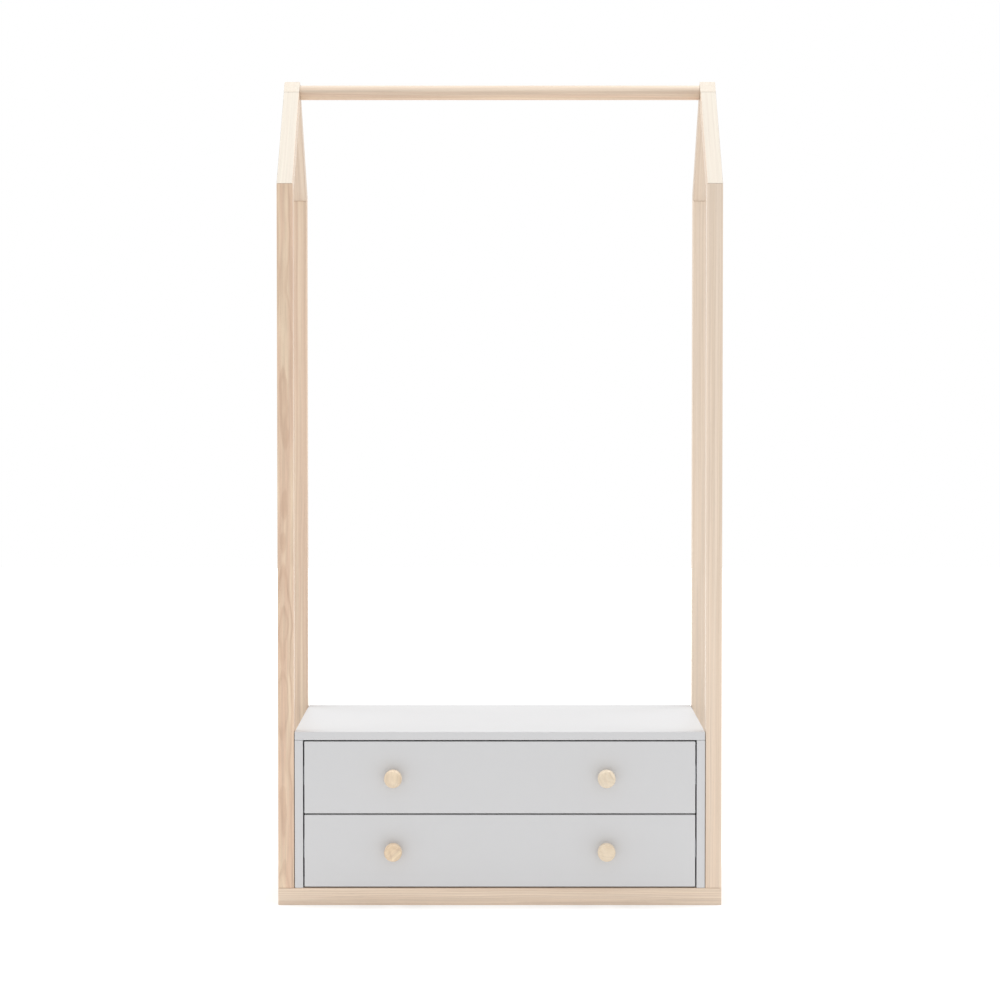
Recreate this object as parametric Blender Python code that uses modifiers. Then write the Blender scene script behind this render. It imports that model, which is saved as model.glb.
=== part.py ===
# Children's clothes stand with a two-drawer cabinet.
#
# Two house-shaped side frames of square timber stand on a base of four rails and carry a round
# hanging rail at the ridge. A cabinet with two drawers on ball-bearing slides sits between them.
# Metres, +Z up, the front faces -Y. The origin is on the floor, under the middle of the whole piece.

import math

import bmesh
import bpy
from mathutils import Matrix, Vector

# Whole piece
WIDTH = 0.800                 # outside of one side frame to outside of the other
DEPTH = 0.400                 # front of the front posts to the back of the rear posts
HEIGHT = 1.500                # floor to ridge
ROOF_RISE = 0.200             # front edge of the roof slope to the ridge
GAP = 0.0003                  # hairline between pieces that touch
OVERRUN = 0.004               # how far a cutter stands out of what it cuts

# Timber frame
TIMBER = 0.029                # side of the square posts and rafters
TIMBER_ROUND = 0.002          # radius of their long edges
TIMBER_ROUND_STEPS = 2
BASE_RAIL_HEIGHT = 0.031
RAIL_DIAMETER = 0.027         # the hanging rail
RAIL_SIDES = 24

# Cabinet
CABINET_CLEARANCE = 0.001     # between a side panel and the post beside it
BOARD = 0.015                 # top, sides, bottom and drawer fronts
BOARD_ROUND = 0.0012          # softened edges of the lacquered boards
BOARD_ROUND_STEPS = 2
THIN_BOARD = 0.003            # back panel and drawer bottoms
GROOVE_DEPTH = 0.005
BACK_INSET = 0.010            # rear edge of the cabinet to the back panel
BOTTOM_SETBACK = 0.002        # drawer front to the cabinet's bottom panel

# Drawers
DRAWER_NAMES = ("lower", "upper")
FRONT_HEIGHT = 0.13025
FRONT_GAP = 0.0025            # above, below and between the fronts
FRONT_SIDE_GAP = 0.0025       # beside the fronts
BOX_BOARD = 0.012             # sides and back of a drawer box
BOX_RISE = 0.024              # lower edge of the front to the lower edge of the box
BOX_HEADROOM = 0.0205         # upper edge of the box to the upper edge of the front
BOX_REAR_CLEARANCE = 0.017    # box to the cabinet's back panel
BOX_BOTTOM_RISE = 0.010       # lower edge of the box to its bottom panel
KNOB_SPACING = 0.384          # between the two knobs of a front

# Knobs: a thick round head on a narrower neck
KNOB_DIAMETER = 0.032
KNOB_LENGTH = 0.028
KNOB_NECK_RADIUS = 0.0095
KNOB_FOOT_RADIUS = 0.011
KNOB_HEAD_LENGTH = 0.019
KNOB_EDGE_ROUND = 0.005
KNOB_DOME = 0.0016            # how far the face stands proud at its middle
KNOB_SIDES = 24
KNOB_ROUND_STEPS = 3

# Ball-bearing slides, two members each
SLIDE_END_MARGIN = 0.0025     # slide to each end of the drawer box
SLIDE_STEEL = 0.0012
CAGE_STEEL = 0.0008
DRAWER_MEMBER_HEIGHT = 0.025
BALL_DIAMETER = 0.0032
BALLS_PER_TRACK = 5
BALL_SIDES = 6
BALL_RINGS = 4
CAGE_CLEARANCE = 0.0004       # screw heads to the cage, and the cage to the cabinet member's lip
CAGE_TO_MEMBER = 0.0006       # cage web to the drawer member's edges
BALL_SET = 0.0019             # drawer member's edge to the balls' centre line
CAGE_EDGE = 0.0009            # metal left beside a ball hole
CAGE_FLANGE_SHARE = 0.5       # middle of the cage's flange, across the ball track
LIP_CLEARANCE = 0.0023        # cabinet member's lip to the drawer side
SLIDE_TRAVEL = 0.260
STOP_HALF_HEIGHT = 0.008      # closing stop folded from the cabinet member
STOP_SETBACK = 0.002          # rear end of the member to the stop
STOP_REACH_SHARE = 0.6        # of the drawer member's web that the stop covers

# Fasteners: shank radius, head radius, head height
FASTENER_SIDES = 8
SCREW_SHANK = 0.00175
SCREW_HEAD = 0.0035
SCREW_HEAD_HEIGHT = 0.0015
POST_SCREW_SHANK = 0.0025
POST_SCREW_HEAD = 0.0048
POST_SCREW_HEAD_HEIGHT = 0.004
POST_SCREW_BITE = 0.038       # into the post
BOLT_SHANK = 0.003
BOLT_HEAD = 0.0065
BOLT_HEAD_HEIGHT = 0.003
BOLT_BITE = 0.040             # into the hanging rail
HEAD_SINK = 0.0005            # sunk heads below the surface
DOWEL_RADIUS = 0.004          # in the timber
THIN_DOWEL_RADIUS = 0.003     # in the boards
DOWEL_BITE = 0.015            # across a mitre, into the rafter
DOWEL_END_BITE = 0.010        # across a base rail
HEAD_ROOT = 0.0003            # slide screws' heads into the steel
DOWEL_WALL = 0.002            # wood left between the ridge dowel and the rail bolt
SCREW_BITE_SHARE = 0.8        # of the thickness of what a screw bites into
DOWEL_BITE_SHARE = 0.6        # of the thickness of a board that a dowel enters from its face
KNOB_BITE_SHARE = 0.6         # of the knob's length
POINT_SHARE = 0.15            # of a screw's length
BOARD_END_SHARE = 0.15        # of a board's length, from its end to the first fastener
DOWEL_PAIR_SHARE = 0.26       # of the timber, each side of its middle
BOX_EDGE_SHARE = 0.22         # of the drawer box's height, from its edge to a fastener
FIXING_SETBACK = 0.0065       # drawer front to the front pair of cabinet screws

# Colours as linear red, green and blue, then roughness and metallic
PINE = ((0.70, 0.54, 0.40), 0.55, 0.0)
PINE_KNOB = ((0.76, 0.62, 0.46), 0.50, 0.0)
GREY_LACQUER = ((0.66, 0.66, 0.66), 0.45, 0.0)
WHITE_BOARD = ((0.83, 0.83, 0.82), 0.40, 0.0)
HARDBOARD = ((0.72, 0.71, 0.69), 0.60, 0.0)
ZINC = ((0.62, 0.63, 0.65), 0.32, 1.0)

# Places worked out from the sizes
KNOB_REACH = GAP + KNOB_LENGTH
FRONT_Y = (KNOB_REACH - DEPTH) / 2
REAR_Y = FRONT_Y + DEPTH
RIDGE_Y = FRONT_Y + DEPTH / 2
HALF_WIDTH = WIDTH / 2
EAVE_HEIGHT = HEIGHT - ROOF_RISE
FRAME_INSIDE = HALF_WIDTH - TIMBER
POST_MIDDLE = HALF_WIDTH - TIMBER / 2
ROOF_ANGLE = math.atan2(ROOF_RISE, DEPTH / 2)
RIDGE_CORE_Z = HEIGHT - TIMBER / 2 / math.cos(ROOF_ANGLE)
BORE_CLEARANCE = GAP

CABINET_OUTSIDE = FRAME_INSIDE - CABINET_CLEARANCE
CABINET_INSIDE = CABINET_OUTSIDE - BOARD
CABINET_FLOOR_Z = BASE_RAIL_HEIGHT + GAP
FRONT_PITCH = FRONT_HEIGHT + FRONT_GAP
TOP_UNDERSIDE_Z = BASE_RAIL_HEIGHT + FRONT_GAP + FRONT_PITCH * len(DRAWER_NAMES)
BACK_FRONT_Y = REAR_Y - BACK_INSET - THIN_BOARD
BEHIND_FRONTS_Y = FRONT_Y + BOARD

BOX_HEIGHT = FRONT_HEIGHT - BOX_RISE - BOX_HEADROOM
BOX_FRONT_Y = BEHIND_FRONTS_Y + GAP
BOX_REAR_Y = BACK_FRONT_Y - BOX_REAR_CLEARANCE
SLIDE_LENGTH = BOX_REAR_Y - BOX_FRONT_Y - SLIDE_END_MARGIN * 2
SLIDE_FRONT_Y = BOX_FRONT_Y + SLIDE_END_MARGIN
SLIDE_REAR_Y = SLIDE_FRONT_Y + SLIDE_LENGTH

# Slide section: u runs from the cabinet side towards the drawer, v up from the slide's middle
BALL_RADIUS = BALL_DIAMETER / 2
MEMBER_V = DRAWER_MEMBER_HEIGHT / 2
BALL_V = MEMBER_V + GAP + BALL_RADIUS
TRACK_V = BALL_V + BALL_RADIUS + GAP
SLIDE_V = TRACK_V + SLIDE_STEEL
CAGE_V = BALL_V + CAGE_STEEL * CAGE_FLANGE_SHARE
WEB_U = GAP + SLIDE_STEEL
CAGE_U = WEB_U + GAP + SCREW_HEAD_HEIGHT + CAGE_CLEARANCE
MEMBER_EDGE_U = CAGE_U + CAGE_STEEL + CAGE_TO_MEMBER
BALL_U = MEMBER_EDGE_U + BALL_SET
CAGE_EDGE_U = BALL_U + BALL_RADIUS + GAP + CAGE_EDGE
LIP_U = CAGE_EDGE_U + CAGE_TO_MEMBER
SLIDE_SPACE = LIP_U + LIP_CLEARANCE
LIP_V = CAGE_V + CAGE_CLEARANCE
MEMBER_WEB_U = SLIDE_SPACE - GAP
CAGE_LENGTH = SLIDE_LENGTH - SLIDE_TRAVEL - GAP
CAGE_FRONT_Y = SLIDE_FRONT_Y + SLIDE_TRAVEL / 2 + GAP
STOP_Y = SLIDE_REAR_Y - STOP_SETBACK - SLIDE_STEEL
TAB_U = MEMBER_WEB_U - SLIDE_STEEL + SLIDE_STEEL * STOP_REACH_SHARE
TAB_ROOT = SLIDE_STEEL / 2
BOX_OUTSIDE = CABINET_INSIDE - SLIDE_SPACE
BOX_INSIDE = BOX_OUTSIDE - BOX_BOARD

SIDES = (("left", -1), ("right", 1))
SMOOTH_ANGLE = math.radians(35)

for leftover in list(bpy.data.objects):
    bpy.data.objects.remove(leftover)

parts = bpy.data.collections.new("wardrobe_with_drawers")
cutters = bpy.data.collections.new("cutters")
bpy.context.scene.collection.children.link(parts)
bpy.context.scene.collection.children.link(cutters)

grooves = {}     # node name: the grooves cut in it
bores = {}       # node name: the round bores cut in it
pins = {}        # node name: what is joined to it, such as its glued dowels


def material_for(name, finish):
    colour, roughness, metallic = finish
    material = bpy.data.materials.new(name)
    material.use_nodes = True
    shader = material.node_tree.nodes["Principled BSDF"]
    shader.inputs["Base Color"].default_value = (*colour, 1.0)
    shader.inputs["Roughness"].default_value = roughness
    shader.inputs["Metallic"].default_value = metallic
    material.diffuse_color = (*colour, 1.0)
    return material


def add_part(name, mesh, finish, place=Matrix(), parent=None):
    # place is where the object's own origin and axes lie in the world
    part = bpy.data.objects.new(name, mesh)
    mesh.materials.append(material_for(name, finish))
    parts.objects.link(part)
    if parent:
        part.parent = parent
        place = Matrix.Translation(-parent.location) @ place
    part.location = place.to_translation()
    part.rotation_euler = place.to_euler()
    return part


def mesh_from(bm, name):
    bmesh.ops.recalc_face_normals(bm, faces=bm.faces[:])
    mesh = bpy.data.meshes.new(name)
    bm.to_mesh(mesh)
    bm.free()
    mesh.shade_smooth()
    mesh.set_sharp_from_angle(angle=SMOOTH_ANGLE)
    return mesh


def box_mesh(name, low, high):
    bm = bmesh.new()
    bmesh.ops.create_cube(bm, size=1)
    size = Vector(high) - Vector(low)
    bmesh.ops.scale(bm, vec=size, verts=bm.verts)
    bmesh.ops.translate(bm, vec=Vector(low) + size / 2, verts=bm.verts)
    return mesh_from(bm, name)


def turned_mesh(name, outline, sides):
    # outline: (radius, height) points of a closed solid, from the axis round to the axis
    bm = bmesh.new()
    points = [bm.verts.new((radius, 0, height)) for radius, height in outline]
    lines = [bm.edges.new(pair) for pair in zip(points, points[1:])]
    bmesh.ops.spin(bm, geom=points + lines, cent=(0, 0, 0), axis=(0, 0, 1), angle=math.tau, steps=sides)
    bmesh.ops.remove_doubles(bm, verts=bm.verts[:], dist=GAP / 10)
    return mesh_from(bm, name)


def join_meshes(name, placed):
    # placed: (mesh, matrix) pairs, one separate solid each
    bm = bmesh.new()
    for mesh, place in placed:
        before = len(bm.verts)
        bm.from_mesh(mesh)
        bm.verts.ensure_lookup_table()
        bmesh.ops.transform(bm, matrix=place, verts=bm.verts[before:])
    return mesh_from(bm, name)


def pointing(origin, direction):
    # a place at origin whose +Z looks along direction
    turn = Vector(direction).to_track_quat("Z", "Y").to_matrix().to_4x4()
    return Matrix.Translation(Vector(origin)) @ turn


def combine(part, operation, placed, label):
    # cuts the placed solids out of the part, or joins them to it
    tool = bpy.data.objects.new(part.name + "_" + label, join_meshes(part.name + "_" + label, placed))
    tool.hide_render = True
    tool.display_type = "WIRE"
    cutters.objects.link(tool)
    boolean = part.modifiers.new(label, "BOOLEAN")
    boolean.operation = operation
    boolean.solver = "EXACT"
    boolean.object = tool


def groove(board_name, low, high):
    grooves.setdefault(board_name, []).append((box_mesh("groove", low, high), Matrix()))


def board(name, low, high, finish, rounding=BOARD_ROUND, parent=None):
    # a rectangular board between two corners, with its origin at its middle
    middle = (Vector(low) + Vector(high)) / 2
    mesh = box_mesh(name, Vector(low) - middle, Vector(high) - middle)
    part = add_part(name, mesh, finish, Matrix.Translation(middle), parent)
    if rounding:
        bevel = part.modifiers.new("softened_edges", "BEVEL")
        bevel.width = rounding
        bevel.segments = BOARD_ROUND_STEPS
        bevel.limit_method = "ANGLE"


def timber(name, size, along, place, saw_cuts=()):
    # a squared length of timber with softened long edges. along is the number of its long axis.
    # saw_cuts: (point, outward direction) in the world, where its ends are sawn off
    bm = bmesh.new()
    bmesh.ops.create_cube(bm, size=1)
    bmesh.ops.scale(bm, vec=size, verts=bm.verts)
    long_edges = [
        edge for edge in bm.edges
        if abs((edge.verts[0].co - edge.verts[1].co)[along]) > size[along] / 2
    ]
    bmesh.ops.bevel(
        bm,
        geom=long_edges,
        offset=TIMBER_ROUND,
        offset_type="OFFSET",
        segments=TIMBER_ROUND_STEPS,
        profile=0.5,
        affect="EDGES",
    )
    to_own = place.inverted()
    for point, outward in saw_cuts:
        everything = bm.verts[:] + bm.edges[:] + bm.faces[:]
        sawn = bmesh.ops.bisect_plane(
            bm,
            geom=everything,
            plane_co=to_own @ Vector(point),
            plane_no=to_own.to_3x3() @ Vector(outward),
            clear_outer=True,
        )
        rim = [item for item in sawn["geom_cut"] if isinstance(item, bmesh.types.BMEdge)]
        bmesh.ops.contextual_create(bm, geom=rim)
    return add_part(name, mesh_from(bm, name), PINE, place)


def screw_outline(shank, head, head_height, length):
    # heights from the underside of the head
    return [
        (0, -head_height),
        (head, -head_height),
        (head, 0),
        (shank, 0),
        (shank, length - length * POINT_SHARE),
        (0, length),
    ]


def bore_outline(shank, length):
    radius = shank + BORE_CLEARANCE
    end = length + BORE_CLEARANCE
    return [(0, -OVERRUN), (radius, -OVERRUN), (radius, end), (0, end)]


def sunk_bore_outline(shank, head, head_height, length):
    radius = shank + BORE_CLEARANCE
    head_radius = head + BORE_CLEARANCE
    mouth = -head_height - HEAD_SINK - OVERRUN
    end = length + BORE_CLEARANCE
    return [
        (0, mouth),
        (head_radius, mouth),
        (head_radius, BORE_CLEARANCE),
        (radius, BORE_CLEARANCE),
        (radius, end),
        (0, end),
    ]


def cylinder_outline(radius, back, ahead):
    return [(0, -back), (radius, -back), (radius, ahead), (0, ahead)]


def bore(board_name, outline, place):
    mesh = turned_mesh("bore", outline, FASTENER_SIDES)
    bores.setdefault(board_name, []).append((mesh, place))


def join(board_name, outline, place):
    mesh = turned_mesh("pin", outline, FASTENER_SIDES)
    pins.setdefault(board_name, []).append((mesh, place))


def dowel(radius, bite, place, owner, other):
    # glued into its owner, which it is one solid with, and standing out of it into the other
    join(owner, cylinder_outline(radius, radius, bite), place)
    bore(other, cylinder_outline(radius + BORE_CLEARANCE, OVERRUN, bite + BORE_CLEARANCE), place)


def screw(name, outline, bore_shape, place, boards, parent=None):
    # a screw or bolt of its own, with its bore in each board that it goes through
    add_part(name, turned_mesh(name, outline, FASTENER_SIDES), ZINC, place, parent)
    for board_name in boards:
        bore(board_name, bore_shape, place)


def pan_screw(name, length, place, boards, parent=None):
    outline = screw_outline(SCREW_SHANK, SCREW_HEAD, SCREW_HEAD_HEIGHT, length)
    screw(name, outline, bore_outline(SCREW_SHANK, length), place, boards, parent)


def slide_screw(member_name, length, place, board_name):
    # driven home through a slide member, which it is one solid with
    join(member_name, screw_outline(SCREW_SHANK, SCREW_HEAD, SCREW_HEAD_HEIGHT, length), place)
    bore(board_name, bore_outline(SCREW_SHANK, length), place)


def build_side_frame(side, sign):
    # two posts and two rafters in the shape of a house
    x = sign * POST_MIDDLE
    half_turn = (math.pi / 2 - ROOF_ANGLE) / 2
    for end, y, inward in (("front", FRONT_Y, 1), ("rear", REAR_Y, -1)):
        post_name = f"post_{end}_{side}"
        rafter_name = f"rafter_{end}_{side}"
        eave = Vector((x, y, EAVE_HEIGHT))
        ridge = Vector((x, RIDGE_Y, HEIGHT))
        slope_out = Vector((0, -inward * math.sin(ROOF_ANGLE), math.cos(ROOF_ANGLE)))
        other_slope_out = Vector((0, inward * math.sin(ROOF_ANGLE), math.cos(ROOF_ANGLE)))
        mitre_up = Vector((0, inward * math.sin(half_turn), math.cos(half_turn)))
        hairline = mitre_up * (GAP / 2)

        # post
        foot = BASE_RAIL_HEIGHT + GAP
        post_place = Matrix.Translation((x, y + inward * TIMBER / 2, foot + (EAVE_HEIGHT - foot) / 2))
        timber(
            post_name,
            (TIMBER, TIMBER, EAVE_HEIGHT - foot),
            2,
            post_place,
            [(eave - hairline, mitre_up)],
        )

        # rafter, long enough to be sawn at both ends
        run = (ridge - eave).length
        middle = (eave + ridge) / 2 - slope_out * (TIMBER / 2)
        tilt = Matrix.Rotation(-inward * (math.pi / 2 - ROOF_ANGLE), 4, "X")
        if end == "front":
            top_cut = (ridge - other_slope_out * (TIMBER + GAP), other_slope_out)
        else:
            top_cut = (ridge, other_slope_out)
        timber(
            rafter_name,
            (TIMBER, TIMBER, run + TIMBER * 2),
            2,
            Matrix.Translation(middle) @ tilt,
            [(eave + hairline, -mitre_up), top_cut],
        )

        # dowel across the mitre
        reach = TIMBER / math.cos(half_turn)
        across = Vector((0, inward * math.cos(half_turn), -math.sin(half_turn)))
        mitre_middle = eave + across * (reach / 2)
        dowel(DOWEL_RADIUS, DOWEL_BITE, pointing(mitre_middle, mitre_up), post_name, rafter_name)

        # screw up through the base rail
        seat = POST_SCREW_HEAD_HEIGHT + HEAD_SINK
        length = BASE_RAIL_HEIGHT - seat + POST_SCREW_BITE
        screw(
            f"post_screw_{end}_{side}",
            screw_outline(POST_SCREW_SHANK, POST_SCREW_HEAD, POST_SCREW_HEAD_HEIGHT, length),
            sunk_bore_outline(POST_SCREW_SHANK, POST_SCREW_HEAD, POST_SCREW_HEAD_HEIGHT, length),
            pointing((x, y + inward * TIMBER / 2, seat), (0, 0, 1)),
            (f"base_rail_{end}", post_name),
        )

    # ridge dowel: from the front rafter into the underside of the rear one
    along_front = Vector((0, math.cos(ROOF_ANGLE), math.sin(ROOF_ANGLE)))
    core = Vector((x, RIDGE_Y, RIDGE_CORE_Z))
    core_to_seam = TIMBER / 2 / math.sin(ROOF_ANGLE * 2)
    dowel(
        DOWEL_RADIUS,
        core_to_seam - BOLT_SHANK - BORE_CLEARANCE - DOWEL_WALL,
        pointing(core - along_front * core_to_seam, along_front),
        f"rafter_front_{side}",
        f"rafter_rear_{side}",
    )

    # bolt from outside through the rear rafter's end into the hanging rail
    seat = BOLT_HEAD_HEIGHT + HEAD_SINK
    length = TIMBER - seat + BOLT_BITE
    screw(
        f"rail_bolt_{side}",
        screw_outline(BOLT_SHANK, BOLT_HEAD, BOLT_HEAD_HEIGHT, length),
        sunk_bore_outline(BOLT_SHANK, BOLT_HEAD, BOLT_HEAD_HEIGHT, length),
        pointing((sign * (HALF_WIDTH - seat), RIDGE_Y, RIDGE_CORE_Z), (-sign, 0, 0)),
        (f"rafter_rear_{side}", "hanging_rail"),
    )


def build_hanging_rail():
    half = FRAME_INSIDE - GAP
    outline = [(0, half), (RAIL_DIAMETER / 2, half), (RAIL_DIAMETER / 2, -half), (0, -half)]
    mesh = turned_mesh("hanging_rail", outline, RAIL_SIDES)
    add_part("hanging_rail", mesh, PINE, pointing((0, RIDGE_Y, RIDGE_CORE_Z), (1, 0, 0)))


def build_base():
    middle_z = BASE_RAIL_HEIGHT / 2
    for end, y, inward in (("front", FRONT_Y, 1), ("rear", REAR_Y, -1)):
        place = Matrix.Translation((0, y + inward * TIMBER / 2, middle_z))
        timber(f"base_rail_{end}", (WIDTH, TIMBER, BASE_RAIL_HEIGHT), 0, place)
    side_length = DEPTH - TIMBER * 2 - GAP * 2
    for side, sign in SIDES:
        place = Matrix.Translation((sign * POST_MIDDLE, RIDGE_Y, middle_z))
        timber(f"base_rail_{side}", (TIMBER, side_length, BASE_RAIL_HEIGHT), 1, place)
        for end, y, inward in (("front", FRONT_Y, 1), ("rear", REAR_Y, -1)):
            for beside in (-1, 1):
                x = sign * POST_MIDDLE + beside * TIMBER * DOWEL_PAIR_SHARE
                dowel(
                    DOWEL_RADIUS,
                    DOWEL_END_BITE,
                    pointing((x, y + inward * TIMBER, middle_z), (0, -inward, 0)),
                    f"base_rail_{side}",
                    f"base_rail_{end}",
                )


def build_cabinet():
    top_low = TOP_UNDERSIDE_Z
    board(
        "cabinet_top",
        (-CABINET_OUTSIDE, FRONT_Y, top_low),
        (CABINET_OUTSIDE, REAR_Y, top_low + BOARD),
        GREY_LACQUER,
    )
    bottom_front = BEHIND_FRONTS_Y + BOTTOM_SETBACK
    bottom_top = CABINET_FLOOR_Z + BOARD
    board(
        "cabinet_bottom",
        (-CABINET_INSIDE + GAP, bottom_front, CABINET_FLOOR_Z),
        (CABINET_INSIDE - GAP, REAR_Y, bottom_top),
        GREY_LACQUER,
        rounding=0,
    )
    for side, sign in SIDES:
        ends = sorted((sign * CABINET_OUTSIDE, sign * CABINET_INSIDE))
        board(
            f"cabinet_side_{side}",
            (ends[0], FRONT_Y, CABINET_FLOOR_Z),
            (ends[1], REAR_Y, top_low - GAP),
            GREY_LACQUER,
        )

    # back panel and its grooves
    in_groove = GROOVE_DEPTH - GAP
    back_x = CABINET_INSIDE + in_groove
    board(
        "cabinet_back",
        (-back_x, BACK_FRONT_Y, bottom_top - in_groove),
        (back_x, BACK_FRONT_Y + THIN_BOARD, top_low + in_groove),
        HARDBOARD,
        rounding=0,
    )
    groove_x = CABINET_INSIDE + GROOVE_DEPTH
    groove_y = (BACK_FRONT_Y - GAP, BACK_FRONT_Y + THIN_BOARD + GAP)
    groove(
        "cabinet_top",
        (-groove_x, groove_y[0], top_low - OVERRUN),
        (groove_x, groove_y[1], top_low + GROOVE_DEPTH),
    )
    groove(
        "cabinet_bottom",
        (-groove_x, groove_y[0], bottom_top - GROOVE_DEPTH),
        (groove_x, groove_y[1], bottom_top + OVERRUN),
    )
    for side, sign in SIDES:
        ends = sorted((sign * groove_x, sign * (CABINET_INSIDE - OVERRUN)))
        groove(
            f"cabinet_side_{side}",
            (ends[0], groove_y[0], CABINET_FLOOR_Z - OVERRUN),
            (ends[1], groove_y[1], top_low + OVERRUN),
        )

    # dowels in the corners, a screw to each post
    bite = BOARD * DOWEL_BITE_SHARE
    between_slides = slide_middle(0) + FRONT_PITCH / 2
    front_row = BEHIND_FRONTS_Y + FIXING_SETBACK
    rear_row = FRONT_Y + REAR_Y - front_row
    length = GAP + BOARD + CABINET_CLEARANCE + TIMBER * SCREW_BITE_SHARE
    for side, sign in SIDES:
        panel = f"cabinet_side_{side}"
        edge_x = sign * (CABINET_OUTSIDE - BOARD / 2)
        for y in along_board(FRONT_Y, DEPTH):
            dowel(THIN_DOWEL_RADIUS, bite, pointing((edge_x, y, top_low), (0, 0, 1)), panel, "cabinet_top")
        for y in along_board(bottom_front, REAR_Y - bottom_front):
            place = pointing((sign * CABINET_INSIDE, y, CABINET_FLOOR_Z + BOARD / 2), (sign, 0, 0))
            dowel(THIN_DOWEL_RADIUS, bite, place, "cabinet_bottom", panel)
        for end, y in (("front", front_row), ("rear", rear_row)):
            place = pointing((sign * (CABINET_INSIDE - GAP), y, between_slides), (sign, 0, 0))
            pan_screw(f"cabinet_screw_{end}_{side}", length, place, (panel, f"post_{end}_{side}"))


def slide_middle(index):
    # height of the middle of a drawer's slides
    return BASE_RAIL_HEIGHT + FRONT_GAP + FRONT_PITCH * index + BOX_RISE + BOX_HEIGHT / 2


def folded_strip(name, profile, front_y, length, steel, sign, z, parent=None):
    # sheet steel folded along its length. profile: its outer corners as (u, v).
    bm = bmesh.new()
    corners = [bm.verts.new((u, -length / 2, v)) for u, v in profile]
    folds = [bm.edges.new(pair) for pair in zip(corners, corners[1:])]
    swept = bmesh.ops.extrude_edge_only(bm, edges=folds)
    moved = [item for item in swept["geom"] if isinstance(item, bmesh.types.BMVert)]
    bmesh.ops.translate(bm, vec=(0, length, 0), verts=moved)
    place = Matrix.Translation((sign * CABINET_INSIDE, front_y + length / 2, z))
    if sign > 0:
        place = place @ Matrix.Rotation(math.pi, 4, "Z")
    strip = add_part(name, mesh_from(bm, name), ZINC, place, parent)
    wall = strip.modifiers.new("steel", "SOLIDIFY")
    wall.thickness = steel
    wall.offset = -1
    wall.use_even_offset = True


def channel(u_open, u_web, v, lip_v=None):
    # C section, open towards u_open
    corners = [(u_open, v), (u_web, v), (u_web, -v), (u_open, -v)]
    if lip_v is not None:
        corners = [(u_open, lip_v)] + corners + [(u_open, -lip_v)]
    return corners


def along_board(start, length):
    # the two places of the fasteners along a board
    return [start + length * share for share in (BOARD_END_SHARE, 1 - BOARD_END_SHARE)]


def build_slides(index, drawer_name, drawer, cages):
    z = slide_middle(index)
    member_length = STOP_Y - GAP - SLIDE_FRONT_Y
    for side, sign in SIDES:
        cabinet_member = f"{drawer_name}_slide_cabinet_member_{side}"
        drawer_member = f"{drawer_name}_slide_drawer_member_{side}"
        outer = channel(LIP_U, GAP, SLIDE_V, LIP_V)
        inner = channel(MEMBER_EDGE_U, MEMBER_WEB_U, MEMBER_V)
        folded_strip(cabinet_member, outer, SLIDE_FRONT_Y, SLIDE_LENGTH, SLIDE_STEEL, sign, z)
        folded_strip(drawer_member, inner, SLIDE_FRONT_Y, member_length, SLIDE_STEEL, sign, z, drawer)
        build_cage(f"{drawer_name}_ball_cage_{side}", sign, z, cages)

        # the closing stop, a tab at the rear that the drawer member meets
        ends = sorted((sign * (CABINET_INSIDE - WEB_U + TAB_ROOT), sign * (CABINET_INSIDE - TAB_U)))
        tab = box_mesh(
            "stop",
            (ends[0], STOP_Y, z - STOP_HALF_HEIGHT),
            (ends[1], STOP_Y + SLIDE_STEEL, z + STOP_HALF_HEIGHT),
        )
        pins.setdefault(cabinet_member, []).append((tab, Matrix()))

        # screws of both members, heads inside the slide
        cabinet_seat = WEB_U - HEAD_ROOT
        drawer_seat = MEMBER_WEB_U - SLIDE_STEEL + HEAD_ROOT
        for y in along_board(SLIDE_FRONT_Y, member_length):
            slide_screw(
                cabinet_member,
                cabinet_seat + BOARD * SCREW_BITE_SHARE,
                pointing((sign * (CABINET_INSIDE - cabinet_seat), y, z), (sign, 0, 0)),
                f"cabinet_side_{side}",
            )
            slide_screw(
                drawer_member,
                SLIDE_SPACE - drawer_seat + BOX_BOARD * SCREW_BITE_SHARE,
                pointing((sign * (CABINET_INSIDE - drawer_seat), y, z), (-sign, 0, 0)),
                f"{drawer_name}_drawer_side_{side}",
            )


def build_cage(name, sign, z, cages):
    # the cage strip, which is one solid with the balls in its two flanges
    profile = channel(CAGE_EDGE_U, CAGE_U, CAGE_V)
    folded_strip(name, profile, CAGE_FRONT_Y, CAGE_LENGTH, CAGE_STEEL, sign, z, cages)
    bm = bmesh.new()
    bmesh.ops.create_uvsphere(bm, u_segments=BALL_SIDES, v_segments=BALL_RINGS, radius=BALL_RADIUS)
    ball = mesh_from(bm, "ball")
    spacing = CAGE_LENGTH / BALLS_PER_TRACK
    for number in range(BALLS_PER_TRACK):
        y = CAGE_FRONT_Y + spacing * (number + 1 / 2)
        for up in (-1, 1):
            spot = Matrix.Translation((sign * (CABINET_INSIDE - BALL_U), y, z + up * BALL_V))
            pins.setdefault(name, []).append((ball, spot))


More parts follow.
